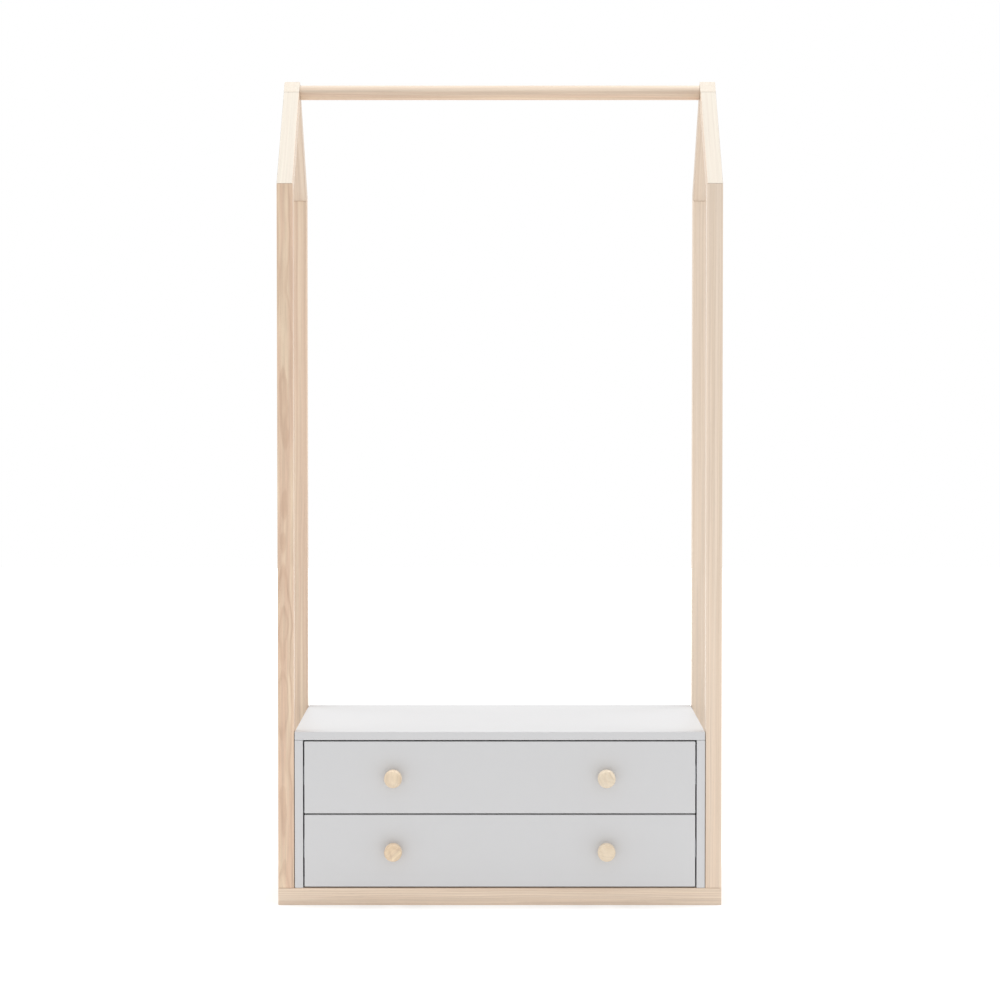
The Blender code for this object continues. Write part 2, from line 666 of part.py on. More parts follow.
def knob_outline():
    # from the middle of the face down the outer side to the foot
    radius = KNOB_DIAMETER / 2
    head_z = KNOB_LENGTH - KNOB_HEAD_LENGTH
    rim_z = KNOB_LENGTH - KNOB_DOME
    points = [(0, KNOB_LENGTH)]
    for step in range(KNOB_ROUND_STEPS + 1):
        angle = math.pi / 2 * step / KNOB_ROUND_STEPS
        points.append(
            (
                radius - KNOB_EDGE_ROUND + KNOB_EDGE_ROUND * math.sin(angle),
                rim_z - KNOB_EDGE_ROUND + KNOB_EDGE_ROUND * math.cos(angle),
            )
        )
    under_round = KNOB_EDGE_ROUND / 2
    points.append((radius, head_z + under_round))
    points.append((radius - under_round, head_z))
    points.append((KNOB_NECK_RADIUS, head_z - under_round))
    points.append((KNOB_NECK_RADIUS, head_z / 2))
    points.append((KNOB_FOOT_RADIUS, 0))
    points.append((0, 0))
    return points


def build_knob(name, x, z, drawer):
    # a profile turned by a Screw modifier, +Z out of the drawer front
    mesh = bpy.data.meshes.new(name)
    outline = knob_outline()
    lines = [(number, number + 1) for number in range(len(outline) - 1)]
    mesh.from_pydata([(radius, 0, height) for radius, height in outline], lines, [])
    place = pointing((x, FRONT_Y - GAP, z), (0, -1, 0))
    knob = add_part(name, mesh, PINE_KNOB, place, drawer)
    turn = knob.modifiers.new("turned", "SCREW")
    turn.steps = KNOB_SIDES
    turn.render_steps = KNOB_SIDES
    turn.use_merge_vertices = True
    turn.merge_threshold = GAP / 10
    turn.use_smooth_shade = True


def build_drawer(index, drawer_name):
    front_low = BASE_RAIL_HEIGHT + FRONT_GAP + FRONT_PITCH * index
    front_middle = front_low + FRONT_HEIGHT / 2
    box_low = front_low + BOX_RISE
    box_high = box_low + BOX_HEIGHT
    drawer = add_empty(f"{drawer_name}_drawer", (0, FRONT_Y, slide_middle(index)))
    cages = add_empty(f"{drawer_name}_ball_cages", (0, CAGE_FRONT_Y, slide_middle(index)))

    front = f"{drawer_name}_drawer_front"
    front_x = CABINET_INSIDE - FRONT_SIDE_GAP
    board(
        front,
        (-front_x, FRONT_Y, front_low),
        (front_x, BEHIND_FRONTS_Y, front_low + FRONT_HEIGHT),
        GREY_LACQUER,
        parent=drawer,
    )
    back = f"{drawer_name}_drawer_back"
    back_front = BOX_REAR_Y - BOX_BOARD
    board(
        back,
        (-BOX_INSIDE + GAP, back_front, box_low),
        (BOX_INSIDE - GAP, BOX_REAR_Y, box_high),
        WHITE_BOARD,
        rounding=0,
        parent=drawer,
    )
    for side, sign in SIDES:
        ends = sorted((sign * BOX_OUTSIDE, sign * BOX_INSIDE))
        board(
            f"{drawer_name}_drawer_side_{side}",
            (ends[0], BOX_FRONT_Y, box_low),
            (ends[1], BOX_REAR_Y, box_high),
            WHITE_BOARD,
            rounding=0,
            parent=drawer,
        )

    # bottom panel in grooves on all four sides
    in_groove = GROOVE_DEPTH - GAP
    panel_low = box_low + BOX_BOTTOM_RISE
    board(
        f"{drawer_name}_drawer_bottom",
        (-BOX_INSIDE - in_groove, BEHIND_FRONTS_Y - in_groove, panel_low),
        (BOX_INSIDE + in_groove, back_front + in_groove, panel_low + THIN_BOARD),
        HARDBOARD,
        rounding=0,
        parent=drawer,
    )
    groove_x = BOX_INSIDE + GROOVE_DEPTH
    groove_z = (panel_low - GAP, panel_low + THIN_BOARD + GAP)
    groove(
        front,
        (-groove_x, BEHIND_FRONTS_Y - GROOVE_DEPTH, groove_z[0]),
        (groove_x, BEHIND_FRONTS_Y + OVERRUN, groove_z[1]),
    )
    groove(
        back,
        (-groove_x, back_front - OVERRUN, groove_z[0]),
        (groove_x, back_front + GROOVE_DEPTH, groove_z[1]),
    )
    for side, sign in SIDES:
        ends = sorted((sign * groove_x, sign * (BOX_INSIDE - OVERRUN)))
        groove(
            f"{drawer_name}_drawer_side_{side}",
            (ends[0], BOX_FRONT_Y - OVERRUN, groove_z[0]),
            (ends[1], BOX_REAR_Y + OVERRUN, groove_z[1]),
        )

    # dowels from the sides into the front, and from the back into the sides
    for side, sign in SIDES:
        panel = f"{drawer_name}_drawer_side_{side}"
        edge_x = sign * (BOX_OUTSIDE - BOX_BOARD / 2)
        edge_y = BOX_REAR_Y - BOX_BOARD / 2
        for z in (box_low + BOX_HEIGHT * BOX_EDGE_SHARE, box_high - BOX_HEIGHT * BOX_EDGE_SHARE):
            to_front = pointing((edge_x, BEHIND_FRONTS_Y, z), (0, -1, 0))
            dowel(THIN_DOWEL_RADIUS, BOARD * DOWEL_BITE_SHARE, to_front, panel, front)
            to_side = pointing((sign * BOX_INSIDE, edge_y, z), (sign, 0, 0))
            dowel(THIN_DOWEL_RADIUS, BOX_BOARD * DOWEL_BITE_SHARE, to_side, back, panel)

    # knobs, screwed on from inside
    for side, sign in SIDES:
        knob = f"{drawer_name}_knob_{side}"
        x = sign * KNOB_SPACING / 2
        build_knob(knob, x, front_middle, drawer)
        pan_screw(
            f"{drawer_name}_knob_screw_{side}",
            GAP + BOARD + KNOB_LENGTH * KNOB_BITE_SHARE,
            pointing((x, BEHIND_FRONTS_Y + GAP, front_middle), (0, -1, 0)),
            (front, knob),
            drawer,
        )
    build_slides(index, drawer_name, drawer, cages)


def add_empty(name, location):
    empty = bpy.data.objects.new(name, None)
    empty.location = location
    parts.objects.link(empty)
    return empty


build_base()
build_hanging_rail()
for side_name, side_sign in SIDES:
    build_side_frame(side_name, side_sign)
build_cabinet()
for drawer_index, drawer_label in enumerate(DRAWER_NAMES):
    build_drawer(drawer_index, drawer_label)

for board_name, solids in grooves.items():
    combine(parts.objects[board_name], "DIFFERENCE", solids, "grooves")
for board_name, solids in bores.items():
    combine(parts.objects[board_name], "DIFFERENCE", solids, "bores")
for board_name, solids in pins.items():
    combine(parts.objects[board_name], "UNION", solids, "pins")
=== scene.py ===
# Children's open wardrobe with two drawers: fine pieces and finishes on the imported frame.
# Metres, +Z up, the front faces -Y.

import math
import random

import bmesh
import bpy
from mathutils import Matrix, Vector


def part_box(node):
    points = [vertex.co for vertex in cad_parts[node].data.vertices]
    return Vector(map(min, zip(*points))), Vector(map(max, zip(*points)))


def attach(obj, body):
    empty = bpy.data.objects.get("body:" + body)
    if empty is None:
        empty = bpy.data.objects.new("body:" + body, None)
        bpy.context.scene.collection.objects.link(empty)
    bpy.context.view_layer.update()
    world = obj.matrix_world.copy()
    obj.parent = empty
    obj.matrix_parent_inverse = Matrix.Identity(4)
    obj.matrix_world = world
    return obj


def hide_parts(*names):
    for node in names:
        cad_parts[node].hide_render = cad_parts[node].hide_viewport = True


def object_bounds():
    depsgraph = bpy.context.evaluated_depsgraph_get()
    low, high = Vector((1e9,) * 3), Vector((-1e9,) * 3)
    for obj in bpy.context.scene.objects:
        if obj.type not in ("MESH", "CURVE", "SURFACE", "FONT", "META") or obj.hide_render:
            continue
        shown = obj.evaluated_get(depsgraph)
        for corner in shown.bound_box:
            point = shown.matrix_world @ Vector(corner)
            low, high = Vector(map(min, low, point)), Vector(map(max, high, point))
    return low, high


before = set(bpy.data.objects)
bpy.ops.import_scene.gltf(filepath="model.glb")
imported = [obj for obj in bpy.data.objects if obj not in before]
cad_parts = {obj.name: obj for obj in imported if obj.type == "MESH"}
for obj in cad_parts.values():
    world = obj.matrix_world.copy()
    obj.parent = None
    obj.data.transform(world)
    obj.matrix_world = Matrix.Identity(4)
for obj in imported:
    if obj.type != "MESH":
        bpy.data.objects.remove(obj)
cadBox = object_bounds()
mm = 0.001
hairline = 0.3 * mm  # between pieces that touch
overrun = 4 * mm  # how far a cutter stands out of what it cuts
closeBy = mm / 1000  # points nearer than this are one
alike = 0.999  # directions are one when their dot product is more
bevelAngle = math.radians(40)  # edges sharper than this are softened
shadeAngle = 35  # faces that meet at fewer degrees are shaded as one
quarterTurn = math.radians(90)
sides = (("left", -1), ("right", 1))
drawerNames = ("lower", "upper")


# Camera, close to where the photograph was taken from: a metre up and almost level

photoCamera = {
    "place": (0.0003, -5.3266, 0.9925),
    "lookDown": math.radians(1.898),
    "lens": 103.105,
    "shiftUp": -0.05,
}


def addCamera():
    camera = bpy.data.objects.new("photoCamera", bpy.data.cameras.new("photoCamera"))
    bpy.context.scene.collection.objects.link(camera)
    camera.location = photoCamera["place"]
    camera.rotation_euler = (quarterTurn - photoCamera["lookDown"], 0, 0)
    camera.data.lens = photoCamera["lens"]
    camera.data.shift_y = photoCamera["shiftUp"]
    bpy.context.scene.camera = camera


addCamera()
print("camera in place")


# Ways of working

def pickNothing():
    bpy.ops.object.select_all(action="DESELECT")


def activate(piece):
    pickNothing()
    piece.select_set(True)
    bpy.context.view_layer.objects.active = piece


def named(piece, name):
    piece.name = name
    piece.data.name = name
    return piece


def settled(name):
    # the object at work, with its place and size put in its mesh
    bpy.ops.object.transform_apply(location=True, rotation=True, scale=True)
    return named(bpy.context.object, name)


def openEdit(piece, pick="EDGE"):
    activate(piece)
    bpy.ops.object.mode_set(mode="EDIT")
    bpy.ops.mesh.select_mode(type=pick)


def closeEdit():
    bpy.ops.object.mode_set(mode="OBJECT")


def pickAll():
    bpy.ops.mesh.select_all(action="SELECT")


def pickSome(piece, kind, wanted):
    # in edit mode: selects the verts or edges that pass the test, and nothing else
    bpy.ops.mesh.select_all(action="DESELECT")
    mesh = bmesh.from_edit_mesh(piece.data)
    for element in getattr(mesh, kind):
        element.select = wanted(element)
    mesh.select_flush_mode()
    bmesh.update_edit_mesh(piece.data)


def runsAlong(edge, direction):
    return abs((edge.verts[1].co - edge.verts[0].co).normalized().dot(direction)) > alike


def applyModifier(piece, kind, **settings):
    activate(piece)
    modifier = piece.modifiers.new(kind.lower(), kind)
    for setting, value in settings.items():
        setattr(modifier, setting, value)
    bpy.ops.object.modifier_apply(modifier=modifier.name)


def softenEdges(piece, width, steps):
    applyModifier(piece, "BEVEL", width=width, segments=steps, limit_method="ANGLE", angle_limit=bevelAngle)


def addBlock(name, low, high):
    low, high = Vector(low), Vector(high)
    pickNothing()
    bpy.ops.mesh.primitive_cube_add(size=1, location=(low + high) / 2, scale=high - low)
    return settled(name)


def addRod(name, start, end, radius, steps):
    # a cylinder between two points
    start, end = Vector(start), Vector(end)
    turn = (end - start).to_track_quat("Z", "Y").to_euler()
    pickNothing()
    bpy.ops.mesh.primitive_cylinder_add(
        vertices=steps, radius=radius, depth=(end - start).length, location=(start + end) / 2, rotation=turn
    )
    return settled(name)


def drawProfile(name, points):
    # a plane merged to its middle and drawn out from point to point; it stays in edit mode
    pickNothing()
    bpy.ops.mesh.primitive_plane_add(size=mm, location=points[0])
    piece = settled(name)
    openEdit(piece, "VERT")
    pickAll()
    bpy.ops.mesh.merge(type="CENTER")
    for start, end in zip(points, points[1:]):
        bpy.ops.mesh.extrude_region_move(TRANSFORM_OT_translate={"value": Vector(end) - Vector(start)})
    return piece


def turnProfile(name, outline, steps):
    # outline: (radius, height) points from the axis round to the axis, spun about Z
    piece = drawProfile(name, [(radius, 0, height) for radius, height in outline])
    pickAll()
    bpy.ops.mesh.spin(steps=steps, angle=math.tau, center=(0, 0, 0), axis=(0, 0, 1))
    pickAll()
    bpy.ops.mesh.remove_doubles(threshold=closeBy)
    bpy.ops.mesh.normals_make_consistent(inside=False)
    closeEdit()
    return piece


def evenShares(steps):
    return [step / steps for step in range(steps + 1)]


def quarterRound(radius, steps):
    # points round an edge: how far in from the rim, and how far down from the top
    turns = [quarterTurn * share for share in evenShares(steps)]
    return [(radius - radius * math.sin(turn), radius - radius * math.cos(turn)) for turn in turns]


def joinPieces(name, pieces):
    pickNothing()
    for piece in pieces:
        piece.select_set(True)
    bpy.context.view_layer.objects.active = pieces[0]
    bpy.ops.object.join()
    return named(bpy.context.object, name)


def cutAway(piece, *cutters):
    for cutter in cutters:
        applyModifier(piece, "BOOLEAN", operation="DIFFERENCE", solver="EXACT", object=cutter)
        bpy.data.objects.remove(cutter)


def copyPiece(piece, name, place):
    # a copy with a mesh of its own, put where place says
    copy = piece.copy()
    copy.data = piece.data.copy()
    bpy.context.scene.collection.objects.link(copy)
    copy.data.transform(place)
    if place.determinant() < 0:
        copy.data.flip_normals()
    return named(copy, name)


def pointing(spot, direction):
    turn = Vector(direction).to_track_quat("Z", "Y").to_matrix().to_4x4()
    return Matrix.Translation(Vector(spot)) @ turn


def handIn(piece, material, body, node, sharpAngle=shadeAngle):
    # smooth shading, the finish, and what the piece rides on and stands for
    activate(piece)
    bpy.ops.object.shade_smooth_by_angle(angle=math.radians(sharpAngle))
    applyModifier(piece, "WEIGHTED_NORMAL", keep_sharp=True)
    piece.data.materials.clear()
    piece.data.materials.append(material)
    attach(piece, body)
    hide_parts(node)


# Materials

def linearColour(hexColour):
    shares = [int(hexColour[start:start + 2], 16) / 255 for start in (1, 3, 5)]
    linear = [s / 12.92 if s <= 0.04045 else ((s + 0.055) / 1.055) ** 2.4 for s in shares]
    return (*linear, 1)


def addNode(tree, kind, settings=None, links=None):
    # settings go to the node itself or to its inputs, by name or number, the node's own ones first;
    # links bring in an output, or a node's first output
    node = tree.nodes.new("ShaderNode" + kind)
    for key, value in (settings or {}).items():
        if isinstance(key, str) and key not in node.inputs:
            setattr(node, key, value)
        else:
            node.inputs[key].default_value = value
    for key, source in (links or {}).items():
        output = source.outputs[0] if isinstance(source, bpy.types.Node) else source
        tree.links.new(output, node.inputs[key])
    return node


def newMaterial(name):
    material = bpy.data.materials.new(name)
    material.use_nodes = True
    material.node_tree.nodes.clear()
    return material, material.node_tree


def setRamp(node, stops):
    ramp = node.color_ramp
    while len(ramp.elements) < len(stops):
        ramp.elements.new(0.5)
    for element, (place, value) in zip(ramp.elements, stops):
        element.position = place
        element.color = value if isinstance(value, tuple) else (value, value, value, 1)


middling = {"From Min": 0.3, "From Max": 0.7}  # where most of a noise lies

# clear pine, planed, sanded and given a matt clear lacquer: pale rings with soft brown edges,
# long cathedral arcs where a face lies along the rings, and a faint sheen from the lacquer
clearPine = {
    "bends": (3.0, 13, 13),  # how many a metre the log has, along it and across
    "bendNoise": {"Scale": 1, "Detail": 2, "Roughness": 0.45},
    "wander": 7 * mm,  # how far the bends carry a ring
    "ringWidth": 2.8 * mm,  # one year's growth
    "alikeYears": 2.5,  # in a run of wide or of narrow rings
    "unevenYears": 2.6,  # that such runs bring a ring forward by
    "ringProfile": ((0.0, 0.12), (0.28, 0.0), (0.62, 0.38), (0.83, 0.95), (0.92, 0.75), (1.0, 0.12)),
    "ringStrength": {"To Min": 0.25, "To Max": 1.0},  # of the faintest ring and of the strongest
    "lateStrength": 0.8,
    # strips of pinker and yellower wood, streaks, fibres and resin pores: how many a metre along the
    # log, how wide, their noise and the levels it is spread over. Real fibres are 0.03 mm wide and are
    # drawn as coarse as shows.
    "patch": (1.8, 7 * mm, {"Detail": 1}, {"From Min": 0.36, "From Max": 0.62}),
    "streak": (3, 3.5 * mm, {"Detail": 2, "Roughness": 0.55}, middling | {"To Min": 0.5, "To Max": -0.5}),
    "fibre": (9, 1.2 * mm, {"Detail": 3, "Roughness": 0.6}, middling),
    "pore": (70, 0.5 * mm, {"Detail": 1}, {"From Min": 0.63, "From Max": 0.72, "To Min": 1, "To Max": 0.9}),
    "streakStrength": {"To Min": 0.08, "To Max": 0.2},  # on the palest boards and on the richest
    "fibreShade": {"To Min": 1.035, "To Max": 0.965},
    # from the palest boards to the richest: spring wood, its pinker patches, and the late rings. The
    # palest stop serves the painted highlight on the front rafters' slopes and the rear rafters' ends
    "early": ((0.0, "#E4DCCE"), (0.4, "#EEDCC9"), (1.0, "#EBD3B7")),
    "pink": ((0.0, "#E2D8CA"), (0.4, "#EAD7C2"), (1.0, "#E3C3A9")),
    "late": ((0.0, "#E0D6C8"), (0.4, "#E0CAB5"), (1.0, "#C8A489")),
    "ringRelief": 0.7,  # how far late wood stands up, against the fibres
    "bump": {"Strength": 0.35, "Distance": 0.06 * mm},
    "gloss": {"To Min": 0.51, "To Max": 0.41},  # the lacquer sinks in more between the rings
    "shader": {"IOR": 1.5, "Coat Weight": 0.12, "Coat Roughness": 0.3},
}
# pine turned on a lathe and lacquered: a little yellower, with stronger fibres and a fuller sheen
knobPine = clearPine | {
    "lateStrength": 0.75,
    "fibreShade": {"To Min": 1.045, "To Max": 0.955},
    "early": ((0.0, "#E6DCC8"), (0.4, "#EEDCC2"), (1.0, "#ECD3AF")),
    "pink": ((0.0, "#E4D9C6"), (0.4, "#EAD7BD"), (1.0, "#E4C5A4")),
    "late": ((0.0, "#DECFB6"), (0.4, "#DCC6A8"), (1.0, "#C6A37F")),
    "gloss": {"To Min": 0.47, "To Max": 0.37},
    "shader": {"IOR": 1.5, "Coat Weight": 0.3, "Coat Roughness": 0.3},
}


def makePine(name, pine):
    # reads where each point lay in its log, its board's tone and shade, partly the wood's own and
    # partly painted highlight and shade, and its bends
    material, tree = newMaterial(name)
    place = addNode(tree, "Attribute", {"attribute_name": "logPlace"}).outputs["Vector"]
    tone, boardAndPaintedShade, boardWander = (
        addNode(tree, "Attribute", {"attribute_name": attribute}).outputs["Fac"]
        for attribute in ("boardToneAndHighlight", "boardAndPaintedShade", "boardWander")
    )

    # the log isn't straight: its rings wander
    wander = pine["wander"]
    slow = addNode(tree, "VectorMath", {"operation": "MULTIPLY", 1: pine["bends"]}, {0: place})
    bends = addNode(tree, "TexNoise", pine["bendNoise"], {"Vector": slow}).outputs["Color"]
    centring = {"operation": "MULTIPLY_ADD", 1: (0, wander, wander), 2: (0, -wander / 2, -wander / 2)}
    sideways = addNode(tree, "VectorMath", centring, {0: bends})
    shift = addNode(tree, "VectorMath", {"operation": "SCALE"}, {0: sideways, "Scale": boardWander})
    bent = addNode(tree, "VectorMath", {"operation": "ADD"}, {0: place, 1: shift})
    across = addNode(tree, "VectorMath", {"operation": "MULTIPLY", 1: (0, 1, 1)}, {0: bent})
    radius = addNode(tree, "VectorMath", {"operation": "LENGTH"}, {0: across}).outputs["Value"]

    # rings of unlike width and strength, each with a sharp outer edge
    years = addNode(tree, "Math", {"operation": "DIVIDE", 1: pine["ringWidth"]}, {0: radius})
    runs = {"noise_dimensions": "1D", "Scale": 1 / pine["alikeYears"], "Detail": 1}
    seasons = addNode(tree, "TexNoise", runs, {"W": years})
    spread = {"operation": "MULTIPLY_ADD", 1: pine["unevenYears"]}
    uneven = addNode(tree, "Math", spread, {0: seasons, 2: years})
    year = addNode(tree, "Math", {"operation": "FLOOR"}, {0: uneven})
    season = addNode(tree, "Math", {"operation": "FRACT"}, {0: uneven})
    lateWood = addNode(tree, "ValToRGB", links={"Fac": season})
    setRamp(lateWood, pine["ringProfile"])
    lateWood.color_ramp.interpolation = "EASE"
    chance = addNode(tree, "TexWhiteNoise", {"noise_dimensions": "1D"}, {"W": year})
    strength = addNode(tree, "MapRange", pine["ringStrength"], {"Value": chance})
    rings = addNode(tree, "Math", {"operation": "MULTIPLY"}, {0: lateWood, 1: strength})

    # what runs along the log
    levels = {}
    for feature, route in (("patch", bent), ("streak", bent), ("fibre", place), ("pore", place)):
        perMetre, width, noise, level = pine[feature]
        stretch = {"operation": "MULTIPLY", 1: (perMetre, 1 / width, 1 / width)}
        stretched = addNode(tree, "VectorMath", stretch, {0: route})
        texture = addNode(tree, "TexNoise", {"Scale": 1} | noise, {"Vector": stretched})
        levels[feature] = addNode(tree, "MapRange", level, {"Value": texture})

    # colour: the board's tone and patches first, then rings, streaks, fibres, the odd pore and the
    # board's shade, with the painted highlight and shade they carry
    tones = {}
    for wood in ("early", "pink", "late"):
        tones[wood] = addNode(tree, "ValToRGB", links={"Fac": tone})
        setRamp(tones[wood], [(spot, linearColour(hexColour)) for spot, hexColour in pine[wood]])
    patches = {0: levels["patch"], 6: tones["early"], 7: tones["pink"]}
    early = addNode(tree, "Mix", {"data_type": "RGBA"}, patches).outputs[2]
    ringShare = addNode(tree, "Math", {"operation": "MULTIPLY", 1: pine["lateStrength"]}, {0: rings})
    late = {0: ringShare, 6: early, 7: tones["late"]}
    ringed = addNode(tree, "Mix", {"data_type": "RGBA"}, late).outputs[2]
    contrast = addNode(tree, "MapRange", pine["streakStrength"], {"Value": tone})
    streaked = {0: levels["streak"], 1: contrast}
    streakShade = addNode(tree, "Math", {"operation": "MULTIPLY_ADD", 2: 1.0}, streaked)
    shade = addNode(tree, "MapRange", pine["fibreShade"], {"Value": levels["fibre"]})
    for darkening in (levels["pore"], streakShade, boardAndPaintedShade):
        shade = addNode(tree, "Math", {"operation": "MULTIPLY"}, {0: shade, 1: darkening})
    colour = addNode(tree, "VectorMath", {"operation": "SCALE"}, {0: ringed, "Scale": shade})

    # relief and lacquer
    standing = {"operation": "MULTIPLY_ADD", 1: pine["ringRelief"]}
    relief = addNode(tree, "Math", standing, {0: rings, 2: levels["fibre"]})
    bump = addNode(tree, "Bump", pine["bump"], {"Height": relief})
    gloss = addNode(tree, "MapRange", pine["gloss"], {"Value": rings})
    surface = {"Base Color": colour, "Roughness": gloss, "Normal": bump}
    shader = addNode(tree, "BsdfPrincipled", pine["shader"], surface)
    addNode(tree, "OutputMaterial", links={"Surface": shader})
    return material


# two-part lacquer sprayed on fibreboard: even colour, a soft sheen and the faint dimples of the
# spray, orange peel about two millimetres wide
sprayedLacquer = {
    "colour": "#D4D4D5",
    "relief": {"Scale": 1 / (2.2 * mm), "Detail": 1, "Roughness": 0.4},
    "bump": {"Strength": 0.3, "Distance": 0.008 * mm},
    "clouds": {"Scale": 1 / (120 * mm), "Detail": 3, "Roughness": 0.6},
    "shade": {"To Min": 0.994, "To Max": 1.006},
    "gloss": {"To Min": 0.41, "To Max": 0.47},
    "shader": {"IOR": 1.5},
}
# melamine pressed on chipboard: whiter and shinier, with a finer and deeper pressed texture
pressedMelamine = sprayedLacquer | {
    "colour": "#E9E9E8",
    "relief": {"Scale": 1 / (0.7 * mm), "Detail": 1, "Roughness": 0.4},
    "bump": {"Strength": 0.3, "Distance": 0.012 * mm},
    "shade": {"To Min": 0.996, "To Max": 1.004},
    "gloss": {"To Min": 0.35, "To Max": 0.41},
}
# thin fibreboard with a pale painted face: matt, with short pressed fibres showing through
paintedBoard = {
    "colour": "#DDDCDA",
    "relief": {"Scale": 1 / (1.5 * mm), "Detail": 4, "Roughness": 0.7, "Distortion": 1.5},
    "bump": {"Strength": 0.3, "Distance": 0.03 * mm},
    "shade": {"To Min": 0.965, "To Max": 1.025},
    "shader": {"IOR": 1.5, "Roughness": 0.62},
}
# bright zinc plating on rolled steel: a cool grey metal with fine rolling lines along the strip
# and slightly cloudy patches where the plating is duller
platedSteel = {
    "colour": "#C6C9CD",
    "stretch": (1 / (0.5 * mm), 1 / (60 * mm), 1 / (0.5 * mm)),
    "relief": {"Scale": 1, "Detail": 2},
    "bump": {"Strength": 0.15, "Distance": 0.004 * mm},
    "clouds": {"Scale": 1 / (14 * mm), "Detail": 3},
    "shade": {"To Min": 0.97, "To Max": 1.01},
    "gloss": {"To Min": 0.27, "To Max": 0.34},
    "shader": {"Metallic": 1},
}


def makeCoating(name, look):
    # one colour in faint clouds, over a relief that the light catches
    material, tree = newMaterial(name)
    place = addNode(tree, "TexCoord").outputs["Object"]
    stretched = addNode(tree, "Mapping", {"Scale": look.get("stretch", (1, 1, 1))}, {"Vector": place})
    relief = addNode(tree, "TexNoise", look["relief"], {"Vector": stretched})
    bump = addNode(tree, "Bump", look["bump"], {"Height": relief})
    clouds = relief
    if "clouds" in look:
        clouds = addNode(tree, "TexNoise", look["clouds"], {"Vector": place})
    shade = addNode(tree, "MapRange", middling | look["shade"], {"Value": clouds})
    plain = {"operation": "SCALE", 0: linearColour(look["colour"])[:3]}
    surface = {"Base Color": addNode(tree, "VectorMath", plain, {"Scale": shade}), "Normal": bump}
    if "gloss" in look:
        surface["Roughness"] = addNode(tree, "MapRange", middling | look["gloss"], {"Value": clouds})
    shader = addNode(tree, "BsdfPrincipled", look["shader"], surface)
    addNode(tree, "OutputMaterial", links={"Surface": shader})
    return material


lacqueredPine = makePine("lacqueredPine", clearPine)
turnedPine = makePine("turnedPine", knobPine)
greyLacquer = makeCoating("satinGreyLacquer", sprayedLacquer)
whiteMelamine = makeCoating("whiteMelamine", pressedMelamine)
paintedHardboard = makeCoating("paintedHardboard", paintedBoard)
brightZinc = makeCoating("brightZinc", platedSteel)
print("materials made")


# Places read off the frame

def middleOf(node):
    low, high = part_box(node)
    return (low + high) / 2


frontPostLow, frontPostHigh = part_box("post_front_left")
timberWidth = frontPostHigh.x - frontPostLow.x
halfWidth = -frontPostLow.x
postMiddle = halfWidth - timberWidth / 2
frontY = frontPostLow.y
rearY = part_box("post_rear_left")[1].y
ridgeY = (frontY + rearY) / 2
ridgeZ = cadBox[1].z
roofAngle = math.radians(45)
eaveZ = ridgeZ - (rearY - frontY) / 2 * math.tan(roofAngle)
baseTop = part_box("base_rail_front")[1].z
railMiddle = middleOf("hanging_rail")
ends = (("front", frontY, 1), ("rear", rearY, -1))
corners = [(end, side, sign, y, inward) for side, sign in sides for end, y, inward in ends]


def onRail(x):
    return Vector((x, ridgeY, railMiddle.z))


# Timber: square stock with rounded long edges and crisp sawn ends

timberShape = {
    "round": 2 * mm,
    "roundSteps": 6,
    "sawnEdge": (0.5 * mm, 2),  # width and steps
    "endSkin": 2 * mm,  # how deep the sawn end's tone and shade go: a painted highlight on the rear rafters, a dark seam on the front ones
    "railSteps": 72,
    "railEdge": (0.6 * mm, 3),
}

# How each length lay in its log, in millimetres. bark: the face that looked outwards. behind and
# beside: from the pith to the middle of the piece. lean: how much further from the pith each metre
# lies. tone: 0 for the palest boards, 1 for the richest. shade: what its colour is multiplied by.
# The tone and shade keys for the lower edge: the same along it, painting shade where less light
# reaches the underside. With end: on the sawn end. With inner: on the face that looks at the other
# side frame. wander, crooks and coarseness: how far the log's bends carry a ring, how many of them
# there are and how wide the rings are, where 1 is usual.
toFront, toRear, toLeft, toRight = (0, -1, 0), (0, 1, 0), (-1, 0, 0), (1, 0, 0)
usualLog = dict(shade=1.0, wander=1.0, crooks=1.0, coarseness=1.0)
# the front rafters: the palest tone paints a highlight on their slopes and outer faces, the inner face
# keeps a richer tone, and their butt ends have a darker seam
frontRafter = dict(tone=0.0, innerTone=0.6, endShade=0.8)
